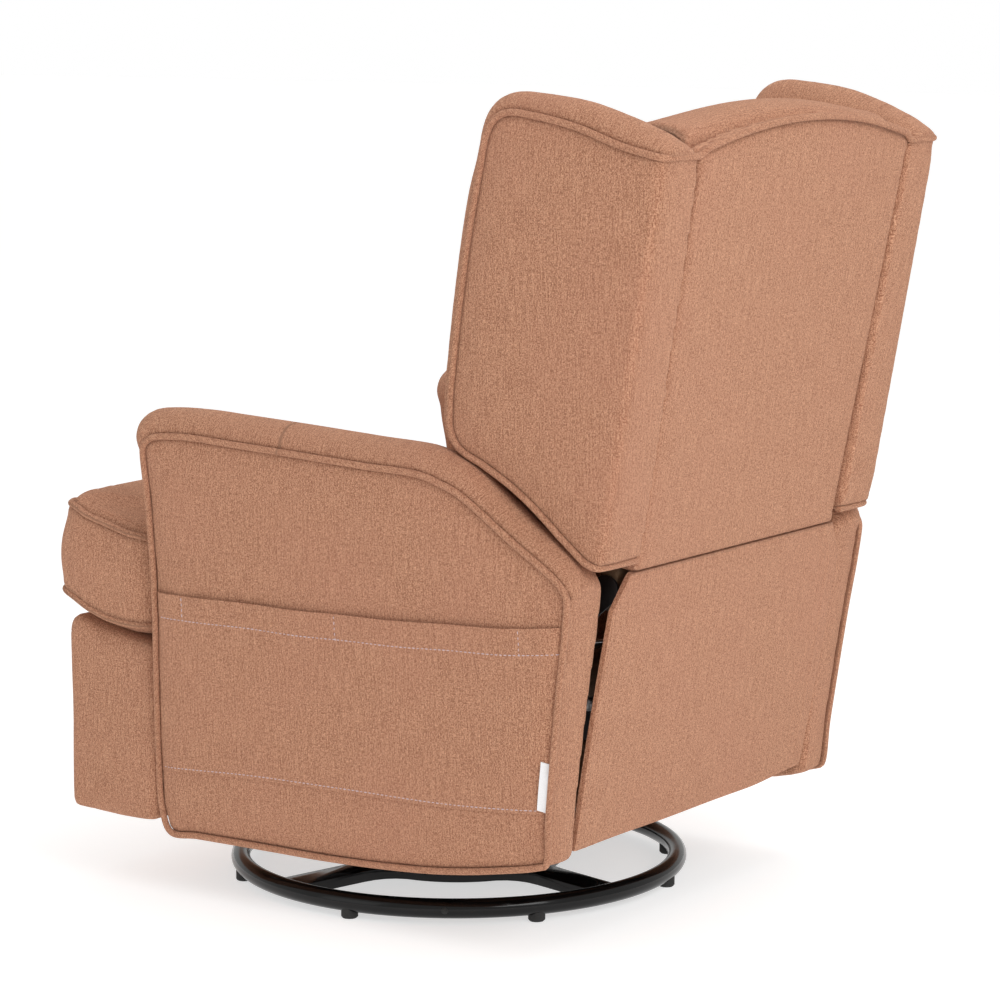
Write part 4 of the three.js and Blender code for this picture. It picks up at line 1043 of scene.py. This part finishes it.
def buildWings():
    style = backStyle
    loop = planeLoop("wing_left", lambda p: np.abs(p[:, 0] - wingOuterX(p[:, 2])) < 0.05)[:, 1:]
    lowRear = int(np.argmin(np.abs(loop - style["lowCorner"]).sum(1)))
    if signedArea(loop) < 0:
        loop = loop[::-1]
        lowRear = len(loop) - 1 - lowRear
    loop = np.roll(loop, -lowRear, 0)
    highRear = int(np.argmax(loop[:, 0]))
    if highRear < len(loop) / 2:
        rear, other = loop[:highRear + 1], loop[highRear:]
        parts = [evenly(rear, style["step"]), smoothLine(np.vstack([other, loop[:1]]), style["step"])]
    else:
        other, rear = loop[:highRear + 1], np.vstack([loop[highRear:], loop[:1]])
        parts = [smoothLine(other, style["step"]), evenly(rear, style["step"])]
    outline = np.vstack([part[:-1] for part in parts])
    if signedArea(outline) < 0:
        outline = outline[::-1]
    below = np.clip(1 - (outline[:, 1] - style["wingLow"]) / style["shiftReach"], 0, 1)
    outline[:, 0] -= style["lowRearShift"] * smoothstep(outline[:, 0], 400, 448) * below

    def swell(line, normals):
        crown = style["crown"] + style["rearCrown"] * smoothstep(line[:, 0], 300, 440)
        for less, start, end in style["rearEase"]:
            crown = crown - less * smoothstep(line[:, 0], start, end)
        top = crown * np.maximum(0, normals[:, 1]) ** 0.7
        ahead = style["frontCrown"] + style["midFront"] * (1 - smoothstep(line[:, 1], 920, 1000))
        forward = np.hypot(top, ahead * np.maximum(0, -normals[:, 0]))
        return forward + style["lowCrown"] * np.maximum(0, -normals[:, 1])

    def tuck(x, line, normals):
        short = style["corner"] - (wingOuterX(line[:, 1]) - x)
        rear = rounding(style["corner"], short) * smoothstep(normals[:, 0], 0.75, 0.95)
        short = style["innerRound"] - (x - wingInnerX(line[:, 1], line[:, 0]))
        facing = np.maximum(0, np.maximum(normals[:, 1], -normals[:, 0]))
        ahead = 1 - smoothstep(line[:, 0], 300, 430)
        return rear + rounding(style["innerRound"], short) * ahead * facing
    frontRidge, rearRidge = style["ridge"]
    ridge = frontRidge + (rearRidge - frontRidge) * smoothstep(outline[:, 0], 400, 527)
    rings = slabRings(outline, style["stations"], lambda p: wingInnerX(p[:, 1], p[:, 0]),
                      lambda p: wingOuterX(p[:, 1]), swell, tuck, ridge)
    wing = remesh(loft("wingCoverLeft", rings), style["voxel"], 3)

    # The piping runs round the outer panel, turns both rear corners and ends at the rear panel
    start = int(np.argmin(np.abs(outline - loop[0]).sum(1)))
    end = int(np.argmin(np.abs(outline - style["highCorner"]).sum(1)))
    turned = np.roll(outline, -start, 0)
    end = (end - start) % len(outline)
    around = turned[end:] if np.median(turned[:end + 1, 0]) > 440 else turned[:end + 1]
    if around[0][1] > around[-1][1]:
        around = around[::-1]

    def turn(corner, inward, back, up):
        outer = wingOuterX(corner[1])
        spots = [(wingInnerX(corner[1]) + inward, back), (outer - 40, back), (outer - 12, -0.5),
                 (outer - 3, -4)]
        return [(x, corner[0] + y, corner[1] + up) for x, y in spots]
    lowTurn, highTurn = turn(around[0], 2, 1, -2), turn(around[-1], 1, 0.5, 1)[::-1]
    panel = np.column_stack([wingOuterX(around[:, 1]), around])[3:-3]
    line = smoothLine(np.vstack([lowTurn, panel, highTurn]), 4)
    innerLoop = np.column_stack([wingInnerX(outline[:, 1], outline[:, 0]), outline])
    outerLoop = np.column_stack([wingOuterX(outline[:, 1]), outline])
    held = np.vstack([evenly(closedUp(innerLoop), 3), evenly(closedUp(outerLoop), 3), evenly(line, 3)])
    inflate(wing, held, style["cap"], frames=9)
    drawSeam(wing, evenly(line, 2), style["groove"], 4.6, style["panelPuff"], 40)
    slabWeave(wing, outline, style["middle"], style["crown"])
    for side, cover in bothSides(wing):
        finishPiece(cover, "back", replaces=[f"wing_{side}"])
    return line


wingPipe = buildWings()
print("wings ready")


# Rear centre panel, slightly proud of the wings' rear strips, with an arched top seam
def buildRearPanel():
    style = backStyle
    low, top = style["panelLow"], style["panelHigh"] - style["arch"]

    def halfAt(up):
        return wingInnerX(style["z"] + up * math.cos(leanAngle)) - style["rimSlack"]
    ups = np.arange(low, top, 6.0)
    right = np.column_stack([halfAt(ups), ups])
    xs = np.linspace(halfAt(top), -halfAt(top), 90)
    arch = np.column_stack([xs, archAt(xs, halfAt(top))])
    left = right[::-1] * (-1, 1)
    across = np.linspace(-halfAt(low), halfAt(low), 80)[1:-1]
    lowEdge = np.column_stack([across, np.full(len(across), float(low))])
    outline = np.vstack([right, arch, left, lowEdge])
    middle = np.array([0, (low + top) / 2])
    span = np.array([halfAt(top), (top - low) / 2])
    share = np.where(np.abs(outline[:, 1] - low) < 0.1, 0.3, 1.0)[:, None]
    rings = []
    for across, inset in style["panelProfile"]:
        moved = middle + (outline - middle) * (1 - inset * share / span)
        rings.append(leanPoints(moved[:, 0], np.full(len(moved), across), moved[:, 1]))
    panel = remesh(loft("rearPanelCover", rings), style["voxel"], 3)
    rimTop = leanPoints(arch[:, 0], 0, arch[:, 1])
    rimLow = leanPoints(lowEdge[:, 0], 0, lowEdge[:, 1])
    points = pointsOf(panel)
    lean = leanOf(points)
    rear = smoothstep(lean[:, 1], -6, 0)
    wave = np.zeros(len(points))
    for level, tilt, x0, x1, deep in style["wrinkles"]:
        shift = lean[:, 2] - level - tilt * lean[:, 0] - 3 * np.sin(lean[:, 0] / 60)
        ends = smoothstep(lean[:, 0], x0, x0 + 90), 1 - smoothstep(lean[:, 0], x1 - 90, x1)
        wave += deep * np.exp(-(shift / 5) ** 2) * ends[0] * ends[1]
    normal = leanPoints(0, 1, 0) - leanPoints(0, 0, 0)
    setPoints(panel, points - normal * (wave * rear)[:, None])
    drawSeam(panel, evenly(rimTop, 3), 2.2, 4.5)
    drawSeam(panel, evenly(rimLow, 3), 0.3, 1.6)
    for side in (-1, 1):
        drawSeam(panel, leanPoints(right[:, 0] * side, -1.5, right[:, 1]), 0.9, 4.2)

    def choose(centres, normals):
        spot = leanOf(centres)
        return np.where((np.abs(normals[:, 1]) > 0.5) & (spot[:, 1] > -10), 0, 1)
    layWeave(panel, choose, [lambda p: leanOf(p)[:, [0, 2]], lambda p: leanOf(p)[:, [1, 2]]])
    finishPiece(panel, "back", replaces=["back_panel"])
    return rimTop


rimTop = buildRearPanel()


# One run of piping from the lower right rear corner over the top to the lower left
def buildBackPiping():
    rim = rimTop[np.argsort(rimTop[:, 0])]
    rim = rim[np.abs(rim[:, 0]) < backStyle["pipeHalf"]]
    left = wingPipe if wingPipe[0][2] < wingPipe[-1][2] else wingPipe[::-1]
    right = left * (-1, 1, 1)
    line = smoothLine(np.vstack([left[::2], rim[::-1][::3] + (0, 1.5, 1), right[::-1][::2]]), 4)
    finishPiece(pipingAlong("backPiping", [line]), "back")


buildBackPiping()
print("rear panel ready")

# Padded inner back, from the lumbar roll over the crown to the rear panel's top seam
padStyle = {
    "depth": 285, "height": 539, "board": -47.9, "ledge": 480.3, "rear": -22.3, "top": 530, "arch": 33,
    "round": 14, "topRound": 4, "endLift": 11, "endShade": 1.4, "clearance": 1.5, "stations": 56,
    "voxel": 6, "cap": 16, "groove": 4, "bands": (150.0, 430.0), "seamShare": 0.965, "creaseShare": 0.99,
    "rearSeam": 512.0, "rearTop": 525, "seamSpots": 120,
    "profile": [(.861, -.031), (.946, .026), (.994, .115), (1, .247), (.94, .399), (.832, .557),
                (.754, .705), (.632, .816), (.509, .909), (.421, .955), (.333, .985), (.253, .998),
                (.175, 1), (.119, .993)],
}


# Half width of the inner back at a point of its side outline: up to the wings, or the arms
def padHalf(spots):
    placed = leanPoints(0, spots[:, 0], spots[:, 1])
    half = np.minimum(wingInnerX(placed[:, 2], placed[:, 1]), armStyle["inner"])
    return half - padStyle["clearance"]


def padDrop(across, up):
    ends = padStyle["arch"] * across ** 2 * smoothstep(up, padStyle["ledge"], padStyle["top"])
    return ends - padStyle["endLift"] * abs(across) ** 6 * smoothstep(up, 470, 520)


def buildBackPad():
    style = padStyle
    front = [(-style["depth"] * d, style["height"] * h) for d, h in style["profile"]]
    curve = smoothLine(front, 8)
    corners = [curve[-1], (style["rear"], style["rearTop"]), (style["rear"], style["ledge"]),
               (style["board"], style["ledge"]), (style["board"], 0), curve[0]]
    outline = np.vstack([curve[:-1], evenly(corners, 8)[:-1]])
    if signedArea(outline) < 0:
        outline = outline[::-1]
    normals = outlineNormals(outline)
    free = style["round"] * smoothstep(-outline[:, 0], 2 - style["board"], 30 - style["board"])
    free += (style["topRound"] - free) * smoothstep(outline[:, 1], 490, 520)
    rings = []
    for k in range(style["stations"] + 1):
        across = -math.cos(math.pi * k / style["stations"])
        edge = 1 - math.sqrt(max(0, 1 - abs(across) ** 14))
        moved = outline - normals * (edge * free)[:, None]
        up = moved[:, 1] - padDrop(across, moved[:, 1])
        rings.append(leanPoints(padHalf(moved) * across, moved[:, 0], up))
    pad = remesh(loft("innerBackPad", rings), style["voxel"], 4)

    def seamAt(spots, share, inset):
        drop = padDrop(share, spots[:, 1])
        return leanPoints(padHalf(spots) * share, spots[:, 0] + inset, spots[:, 1] - drop)
    reach, count = style["seamShare"], style["seamSpots"]
    seams = [seamAt(curve, side * reach, 4) for side in (-1, 1)]
    high = curve[curve[:, 1] > 470]
    crease = np.vstack([evenly(seamAt(high, side * style["creaseShare"], 0), 2) for side in (-1, 1)])
    for up in style["bands"]:
        near = curve[np.argmin(np.abs(curve[:, 1] - up))]
        seams.append(seamAt(np.repeat(near[None], count, 0), np.linspace(-reach, reach, count), 4))
    rear = seamAt(np.repeat([[style["rear"], style["rearSeam"]]], count, 0), np.linspace(-1, 1, count), 0)
    held = np.vstack([evenly(s, 4) for s in seams] + [rear])

    def softness(points):
        spot = leanOf(points)
        return 0.25 + 0.75 * smoothstep(-spot[:, 1], 60, 140)
    inflate(pad, held, style["cap"], softness, hold=(5, 26))
    drawSeam(pad, np.vstack([evenly(s, 3) for s in seams]), style["groove"], 7)
    drawSeam(pad, crease, 5, 4)
    points = pointsOf(pad)
    spot = leanOf(points)
    share = np.abs(points[:, 0]) / padHalf(spot[:, 1:])
    addShade(pad, style["endShade"] * smoothstep(share, 0.972, 0.992) * smoothstep(spot[:, 2], 440, 470))
    limit = armStyle["inner"] - 1
    points[:, 0] = np.clip(points[:, 0], -limit, limit)
    setPoints(pad, points)

    def choose(centres, normals):
        spot = leanOf(centres)
        top = (normals[:, 2] > 0.55) & (spot[:, 2] > 400)
        return np.where(np.abs(normals[:, 0]) > 0.75, 1, np.where(top, 2, 0))
    layWeave(pad, choose, [lambda p: leanOf(p)[:, [0, 2]], lambda p: leanOf(p)[:, [1, 2]],
                           lambda p: leanOf(p)[:, [1, 0]]])
    finishPiece(pad, "back", replaces=["back_cushion"])


buildBackPad()
print("inner back ready")

# T cushion of the seat. Half of the plan from the front middle: (half width, depth) along the
# upper seam and along the lower one, then the corners they share; and the seams' heights by depth
seatStyle = {
    "front": -408, "topFront": 500, "lowFront": 391, "half": 341, "ear": 168,
    "plan": [((0, 0), (0, 0)), ((.3, 0), (.3, 0)), ((.6, .006), (.64, 0)), ((.8, .02), (.85, .006)),
             ((.915, .055), (.94, .026)), ((.975, .14), (.988, .085)), ((1, .28), (1, .22)),
             ((1, .57), (1, .57)), ((.998, .86), (.998, .86)), ((.975, .97), (.975, .97)),
             ((.93, 1), (.93, 1))],
    "rear": [(286, -240), (275, -237), (271, -226), (271, -180), (271, 60), (271, 218), (264, 246),
             (240, 264), (180, 268), (0, 268)],
    "drops": [(0, 0, 0), (29, 0, 7), (57, 9, 22), (90, 19, 32), (122, 27, 36), (169, 35, 36.5), (260, 35, 36),
              (676, 48, 36)],
    "bulge": 10, "flange": 3.5, "voxel": 6, "crown": 24, "reach": 16, "belly": 9.5, "earBelly": 7,
    "cap": 12, "groove": 2.6, "proud": 2.2, "low": 352.0, "high": 470.0, "layers": 8, "rest": 344.6,
    "restFrom": -225, "bandMiddle": 415,
}


def seatPlan(level):
    style = seatStyle
    half = []
    for upper, lower in style["plan"]:
        x, y = (a * level + b * (1 - level) for a, b in zip(upper, lower))
        half.append((style["half"] * x, style["front"] + style["ear"] * y))
    half = np.array(half + style["rear"], float)
    plan = curveThrough(np.vstack([half, (half * (-1, 1))[-2:0:-1]]), closed=True)[:-1]
    return plan if signedArea(plan) > 0 else plan[::-1]


def seamHeights(y):
    depth, top, low = np.array(seatStyle["drops"], float).T
    y = np.asarray(y, float) - seatStyle["front"]
    return seatStyle["lowFront"] - np.interp(y, depth, low), seatStyle["topFront"] - np.interp(y, depth, top)


def buildSeatPad():
    style = seatStyle
    low0, high0, layers = style["low"], style["high"], style["layers"]
    plans = [seatPlan(k / layers) for k in range(layers + 1)]
    rings = []
    for k, plan in enumerate(plans):
        out = style["bulge"] * math.sin(math.pi * k / layers) + (style["flange"] if k in (0, layers) else 0)
        moved = plan + outlineNormals(plan) * out
        rings.append(np.column_stack([moved, np.full(len(moved), low0 + (high0 - low0) * k / layers)]))
    pad = remesh(loft("seatPad", rings), style["voxel"], 2)
    points = pointsOf(pad)
    share = np.clip((points[:, 2] - low0) / (high0 - low0), 0, 1)
    flatLines = [np.column_stack([plan, np.zeros(len(plan))]) for plan in (plans[0], plans[-1])]
    edges = [evenly(closedUp(line), 3) for line in flatLines]
    lowAway, topAway = (distanceTo(points * (1, 1, 0), edge) for edge in edges)
    zLow, zHigh = seamHeights(points[:, 1])
    crown = style["crown"] * (1 - np.exp(-topAway / style["reach"])) * smoothstep(share, 0.8, 1)
    ears = 1 - smoothstep(points[:, 1], -262, -242)
    belly = (style["belly"] + style["earBelly"] * ears) * smoothstep(lowAway, -6, 26)
    belly = belly * (1 - smoothstep(share, 0, 0.2))
    points[:, 2] = zLow + share * (zHigh - zLow) + crown - belly
    setPoints(pad, points)
    lowLine, topLine = (np.column_stack([plan, seamHeights(plan[:, 1])[side]])
                        for side, plan in ((0, plans[0]), (1, plans[-1])))
    held = np.vstack([evenly(closedUp(line), 3) for line in (topLine, lowLine)])

    def softness(p):
        hidden = smoothstep(p[:, 1], -245, -215)
        band = 1 - smoothstep(np.abs(p[:, 2] - style["bandMiddle"]), 30, 60)
        return (1 - 0.6 * band) * (1 - 0.85 * hidden * (1 - smoothstep(p[:, 2], 440, 470)))
    inflate(pad, held, style["cap"], softness, hold=(5, 24))
    drawSeam(pad, held, style["groove"], 5)
    points = pointsOf(pad)
    settledZ = np.maximum(points[:, 2], style["rest"])
    points[:, 2] = np.where(points[:, 1] > style["restFrom"], settledZ, points[:, 2])
    setPoints(pad, points)

    def choose(centres, facing):
        return np.where(np.abs(facing[:, 2]) > 0.62, 0, 1)
    plan = plans[layers // 2]
    middle = np.column_stack([plan, np.zeros(len(plan))])

    def band(p):
        return np.column_stack([lengthAlong(p * (1, 1, 0), middle), p[:, 2]])
    layWeave(pad, choose, [lambda p: p[:, [0, 1]], band])
    finishPiece(pad, "seat", replaces=["seat_cushion"])

    cords = [settled(closedUp(line), pad, style["proud"]) for line in (topLine, lowLine)]
    finishPiece(pipingAlong("seatPiping", cords, closed=True), "seat")


buildSeatPad()
print("seat cushion ready")

# Footrest pad: softly rounded panel with the board let into its rear
footStyle = {
    "half": 340, "round": 13, "ends": (0, 0.5, 1.8, 4, 6.8, 10, 13, 24),
    "profile": [(-390.5, 101), (-387, 96), (-376, 95), (-252, 95), (-244.5, 101), (-244.5, 322),
                (-248, 327), (-266, 331), (-301, 337), (-336, 344), (-364, 353), (-378, 356),
                (-387, 350), (-391, 338), (-391.5, 230)],
    "voxel": 5, "cap": 4, "board": ((-299.9, -262.3, 112), (299.9, -240, 322)),
    "seamX": 336, "frontSeam": (-372, 110, 350), "rearSeam": (-246, 104, 322),
}


def buildFootPad():
    style = footStyle
    outline = smoothLine(style["profile"], 7, closed=True)
    if signedArea(outline) < 0:
        outline = outline[::-1]
    normals = outlineNormals(outline)
    rings = []
    ends = np.array(style["ends"])
    spots = np.concatenate([ends - style["half"], np.linspace(-300, 300, 31), (style["half"] - ends)[::-1]])
    for x in spots:
        moved = outline - normals * rounding(style["round"], style["round"] - (style["half"] - abs(x)))
        rings.append(np.column_stack([np.full(len(moved), x), moved]))
    pad = remesh(loft("footrestPad", rings), style["voxel"], 4)
    seams = [[(x, y, z) for x in (-style["seamX"], style["seamX"]) for z in np.arange(low, high, 3.0)]
             for y, low, high in (style["frontSeam"], style["rearSeam"])]
    inflate(pad, np.vstack(seams), style["cap"], frames=9)
    (x0, y0, z0), (x1, y1, z1) = style["board"]
    box = meshPiece("boardRecess", [(x, y, z) for x in (x0, x1) for y in (y0, y1) for z in (z0, z1)], [
        (0, 1, 3, 2), (4, 6, 7, 5), (0, 4, 5, 1), (2, 3, 7, 6), (0, 2, 6, 4), (1, 5, 7, 3)], "cloth")
    cut = pad.modifiers.new("Recess", "BOOLEAN")
    cut.operation = "DIFFERENCE"
    cut.object = box
    cut.solver = "EXACT"
    bakeModifiers(pad)
    bpy.data.objects.remove(box)
    smooth(pad, 50)
    addShade(pad, np.zeros(len(pad.data.vertices)))
    boxWeave(pad)
    finishPiece(pad, "footrest", replaces=["footrest_pad"])


buildFootPad()
print("footrest pad ready")

# Lower rear flap: a hemmed sheet that hangs from the back's lower seam
flapStyle = {
    "bottom": (368, 130), "top": (430.2, 475), "half": 274, "topHalf": 246, "taper": 44, "thick": 9,
    "columns": 150, "rows": 96, "midWide": 2.5, "farLift": 6, "bendFrom": 330,
    "weaveShift": (210, 90), "folds": ((24, 3.2, 0.9), (41, 4, 0.5)), "belly": 1.6, "ripple": (0.5, 37, 3),
    "edges": ((0.7, 3), (1.2, 3.0), (1.4, 3.5)), "farFrom": 130,
}


def buildFlap():
    style = flapStyle
    (y0, z0), (y1, z1) = style["bottom"], style["top"]
    columns, rows = style["columns"], style["rows"]
    rise = z1 - z0
    proud = np.array([0, rise, -(y1 - y0)]) / math.hypot(rise, y1 - y0)
    outer = np.zeros((rows + 1, columns + 1, 3))
    inner = outer.copy()
    for i in range(rows + 1):
        up = i / rows
        z = z0 + rise * up
        narrowed = np.clip((z - (z1 - style["taper"])) / style["taper"], 0, 1)
        half = style["half"] - (style["half"] - style["topHalf"]) * narrowed
        for j in range(columns + 1):
            s = -math.cos(math.pi * j / columns) * 0.5 + (2 * j / columns - 1) * 0.5
            x = (half + style["midWide"] * math.sin(math.pi * min(1, up * 1.15))) * s
            edge = half - abs(half * s)
            fold = sum(deep * math.exp(-((edge - at) / wide) ** 2) for at, wide, deep in style["folds"])
            ripple, wave, lean = style["ripple"]
            belly = style["belly"] * math.sin(math.pi * up) * (1 - s * s)
            belly += ripple * math.sin(x / wave + up * lean) * (1 - up)
            toEdges = (1 - up) * rise, edge, up * rise
            crease = sum(deep * math.exp(-(far / wide) ** 2)
                         for (deep, wide), far in zip(style["edges"], toEdges))
            lifted = style["farLift"] * (1 - up) ** 2 * smoothstep(-x, style["farFrom"], style["half"])
            spot = np.array([x, y0 + (y1 - y0) * up, z + lifted])
            outer[i, j] = spot + proud * (belly + fold * (1 if x < 0 else 0.5) - crease)
            inner[i, j] = spot - proud * (style["thick"] - crease)
    flap = smooth(sheetPiece("rearFlap", inner, outer), 50)
    addShade(flap, 0.5 * np.exp(-(distanceTo(pointsOf(flap), outer[rows]) / 1.8) ** 2))
    layWeave(flap, lambda c, n: np.where(np.abs(n[:, 0]) > 0.7, 1, 0), [
        lambda p: p[:, [0, 2]] + style["weaveShift"], lambda p: p[:, [1, 2]]])
    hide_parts("back_skirt")
    bendZ = style["bendFrom"]
    bendY = y0 + (y1 - y0) * (bendZ - z0) / rise
    float(toScene([(0, bendY, bendZ)])[0][1])
    float(toScene([(0, y1, z1)])[0][1])
    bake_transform(flap)


buildFlap()
print("rear flap ready")


# The blank tag, caught in the left pocket's rear seam
tagStyle = {"low": (370.5, 193), "high": (378, 254), "width": 10, "slant": 4, "thick": 0.5, "rows": 24}


def buildTag():
    style = tagStyle
    (y0, z0), (y1, z1) = style["low"], style["high"]
    points, rows = [], style["rows"]
    for layer in (0, 1):
        for i in range(rows + 1):
            up = i / rows
            for j in range(5):
                y = y0 + (y1 - y0) * up - style["width"] * (1 - j / 4)
                z = z0 + (z1 - z0) * up + style["slant"] * (0.5 - j / 4)
                x = skinX(pocketFace, y, z)
                lift = 0.5 + 2.0 * (1 - j / 4) ** 1.5 + 0.4 * math.sin(up * 5)
                points.append(((x or armOuterX(z)) + lift + layer * style["thick"] * 2, y, z))
    tag = smooth(outward(meshPiece("sewnTag", points, gridFaces(rows, 4), "label")), 50)
    finishPiece(tag, "seat", slot="tag_white", replaces=["sewn_tag"])


buildTag()


def leftAndRight(*names):
    return [f"{name}_{side}" for name in names for side in ("left", "right")]


# Frame parts and strap: each CAD node gets softened edges and its finish
slotFinish = {
    "gloss_black": ("paint", ["base_cross", "turntable_frame", *leftAndRight("glider_rail"),
                              "chassis_tube_front", "chassis_tube_rear", "footrest_drive_tube"]),
    "rubber_foot": ("rubber", [f"base_foot_{n}" for n in range(1, 9)]),
    "dark_steel": ("steel", ["swivel_race_lower", "swivel_race_upper", *leftAndRight(
        "glider_upright", "mechanism_plate", "back_bracket", "footrest_bracket")]),
    "zinc": ("zinc", ["pivot_bolt", "pivot_nut", *leftAndRight(
        "glider_link_front", "glider_link_rear", "footrest_link_rear", "footrest_link_front")]),
    "timber": ("timber", [*leftAndRight("base_rail"), "base_rail_rear", "seat_box", "back_board",
                          "footrest_board"]),
    "webbing": ("webbing", ["release_strap"]),
}
bodyOf = {node: body for body, nodes in frame["record"]["behaviour"]["bodies"].items() for node in nodes}


def camel(name):
    first, *rest = name.split("_")
    return first + "".join(word.capitalize() for word in rest)


edgeStyle = {"bevel": 0.7, "segments": 2, "angle": 32, "smoothBelow": 40}


def dress(node, slot, finish):
    points, faces = nodeShell(node)
    piece = meshPiece(camel(node), points, faces, finish)
    edge = piece.modifiers.new("Edge", "BEVEL")
    edge.width = edgeStyle["bevel"] * mm
    edge.segments = edgeStyle["segments"]
    edge.limit_method = "ANGLE"
    edge.angle_limit = math.radians(edgeStyle["angle"])
    edge.use_clamp_overlap = True
    smooth(bakeModifiers(piece), edgeStyle["smoothBelow"])
    if finish == "webbing":
        boxWeave(piece)
    finishPiece(piece, bodyOf[node], slot=slot, replaces=[node])
    if finish == "webbing":
        low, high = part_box(node)


# Swept parts that need a smoother round than the CAD's facets
ringStyle = {
    "radius": 293, "tube": 12.7, "z": 20.7, "around": 180, "section": 32, "plugAngle": 32, "plug": 4.5,
    "plugFlat": 0.45, "plugSunk": 0.4,
}
wireStyle = {
    "radius": 2, "pitch": 100, "swing": 20, "waves": 8, "start": -205, "length": 485, "z": 342.3,
    "spots": 257, "step": 2.5, "sides": 10,
}


def buildRing():
    style = ringStyle
    turns = np.linspace(0, 2 * math.pi, style["around"], endpoint=False)
    line = np.column_stack([style["radius"] * np.cos(turns), style["radius"] * np.sin(turns),
                            np.full(len(turns), style["z"])])
    tube = alongPaths("baseRing", "tube", [line], "paint", closed=True, Radius=style["tube"] * mm,
                      Step=2 * math.pi * style["radius"] / style["around"] * mm, Sides=style["section"])
    finishPiece(tube, "base", slot="gloss_black", replaces=["base_ring"])
    angle = math.radians(style["plugAngle"])
    way = Vector((math.cos(angle), math.sin(angle), 0))
    plug = bmesh.new()
    bmesh.ops.create_uvsphere(plug, u_segments=20, v_segments=12, radius=style["plug"] * mm)
    bmesh.ops.scale(plug, vec=(style["plugFlat"], 1, 1), verts=plug.verts)
    mesh = bpy.data.meshes.new("ringPlug")
    plug.transform(way.to_track_quat("X", "Z").to_matrix().to_4x4())
    spot = way * (style["radius"] + style["tube"] - style["plugSunk"])
    bmesh.ops.translate(plug, vec=spotInScene((spot.x, spot.y, style["z"])), verts=plug.verts)
    plug.to_mesh(mesh)
    plug.free()
    mesh.materials.append(materials["rubber"])
    finishPiece(smooth(addObject("ringPlug", mesh)), "base", slot="rubber_foot")


def buildSprings():
    style = wireStyle
    for n in range(4):
        share = np.linspace(0, 1, style["spots"])
        x = (n - 1.5) * style["pitch"] + style["swing"] * np.sin(share * style["waves"] * 2 * math.pi)
        line = np.column_stack([x, style["start"] + style["length"] * share, np.full(len(x), style["z"])])
        wire = alongPaths(f"seatSpring{n + 1}", "tube", [line], "zinc", Radius=style["radius"] * mm,
                          Step=style["step"] * mm, Sides=style["sides"])
        finishPiece(wire, "seat", slot="zinc", replaces=[f"seat_spring_{n + 1}"])


buildRing()
buildSprings()
for slot, (finish, nodes) in slotFinish.items():
    for node in nodes:
        dress(node, slot, finish)
print("frame parts ready")


# Studio: white surround, a near-white floor and three soft lights
studio = {
    "key": ((1500, 3300, 2500), 1900, 54), "fill": ((3800, -1300, 1500), 2200, 8),
    "top": ((-500, 500, 3600), 2600, 34), "aim": (0, 0, 450), "world": 0.66, "warmth": (1, 0.99, 0.975, 1),
    "floor": 0.6, "floorGlow": 0.6, "floorSize": 30000,
}


def buildStudio():
    world = bpy.data.worlds.new("studio")
    scene.world = world
    world.use_nodes = True
    tree = world.node_tree
    tree.nodes.clear()

    def put(kind, **values):
        made = tree.nodes.new(kind)
        for label, value in values.items():
            made.inputs[label].default_value = value
        return made
    seen = put("ShaderNodeBackground", Color=(1, 1, 1, 1), Strength=1.0)
    lit = put("ShaderNodeBackground", Color=studio["warmth"], Strength=studio["world"])
    path, mix, out = put("ShaderNodeLightPath"), put("ShaderNodeMixShader"), put("ShaderNodeOutputWorld")
    for made, target in ((path.outputs["Is Camera Ray"], mix.inputs[0]), (lit.outputs[0], mix.inputs[1]),
                         (seen.outputs[0], mix.inputs[2]), (mix.outputs[0], out.inputs["Surface"])):
        tree.links.new(made, target)
    for name in ("key", "fill", "top"):
        place, size, power = studio[name]
        data = bpy.data.lights.new(name + "Light", "AREA")
        data.size = size * mm
        data.energy = power
        lamp = addObject(name + "Light", data)
        lamp.location = spotInScene(place)
        aim = spotInScene(studio["aim"]) - lamp.location
        lamp.rotation_euler = aim.to_track_quat("-Z", "Y").to_euler()
    half = studio["floorSize"]
    kit = Finish("studioFloor")
    kit.surface((studio["floor"],) * 3 + (1,), 0.7, Emission_Color=(1, 1, 1, 1),
                Emission_Strength=studio["floorGlow"], Specular_IOR_Level=0.1)
    materials["floor"] = kit.material
    floor = meshPiece("studioFloor", [(-half, -half, 0), (half, -half, 0), (half, half, 0), (-half, half, 0)],
                      [(0, 1, 2, 3)], "floor")
    scene.view_settings.view_transform = "Standard"
    scene.view_settings.look = "None"


buildStudio()
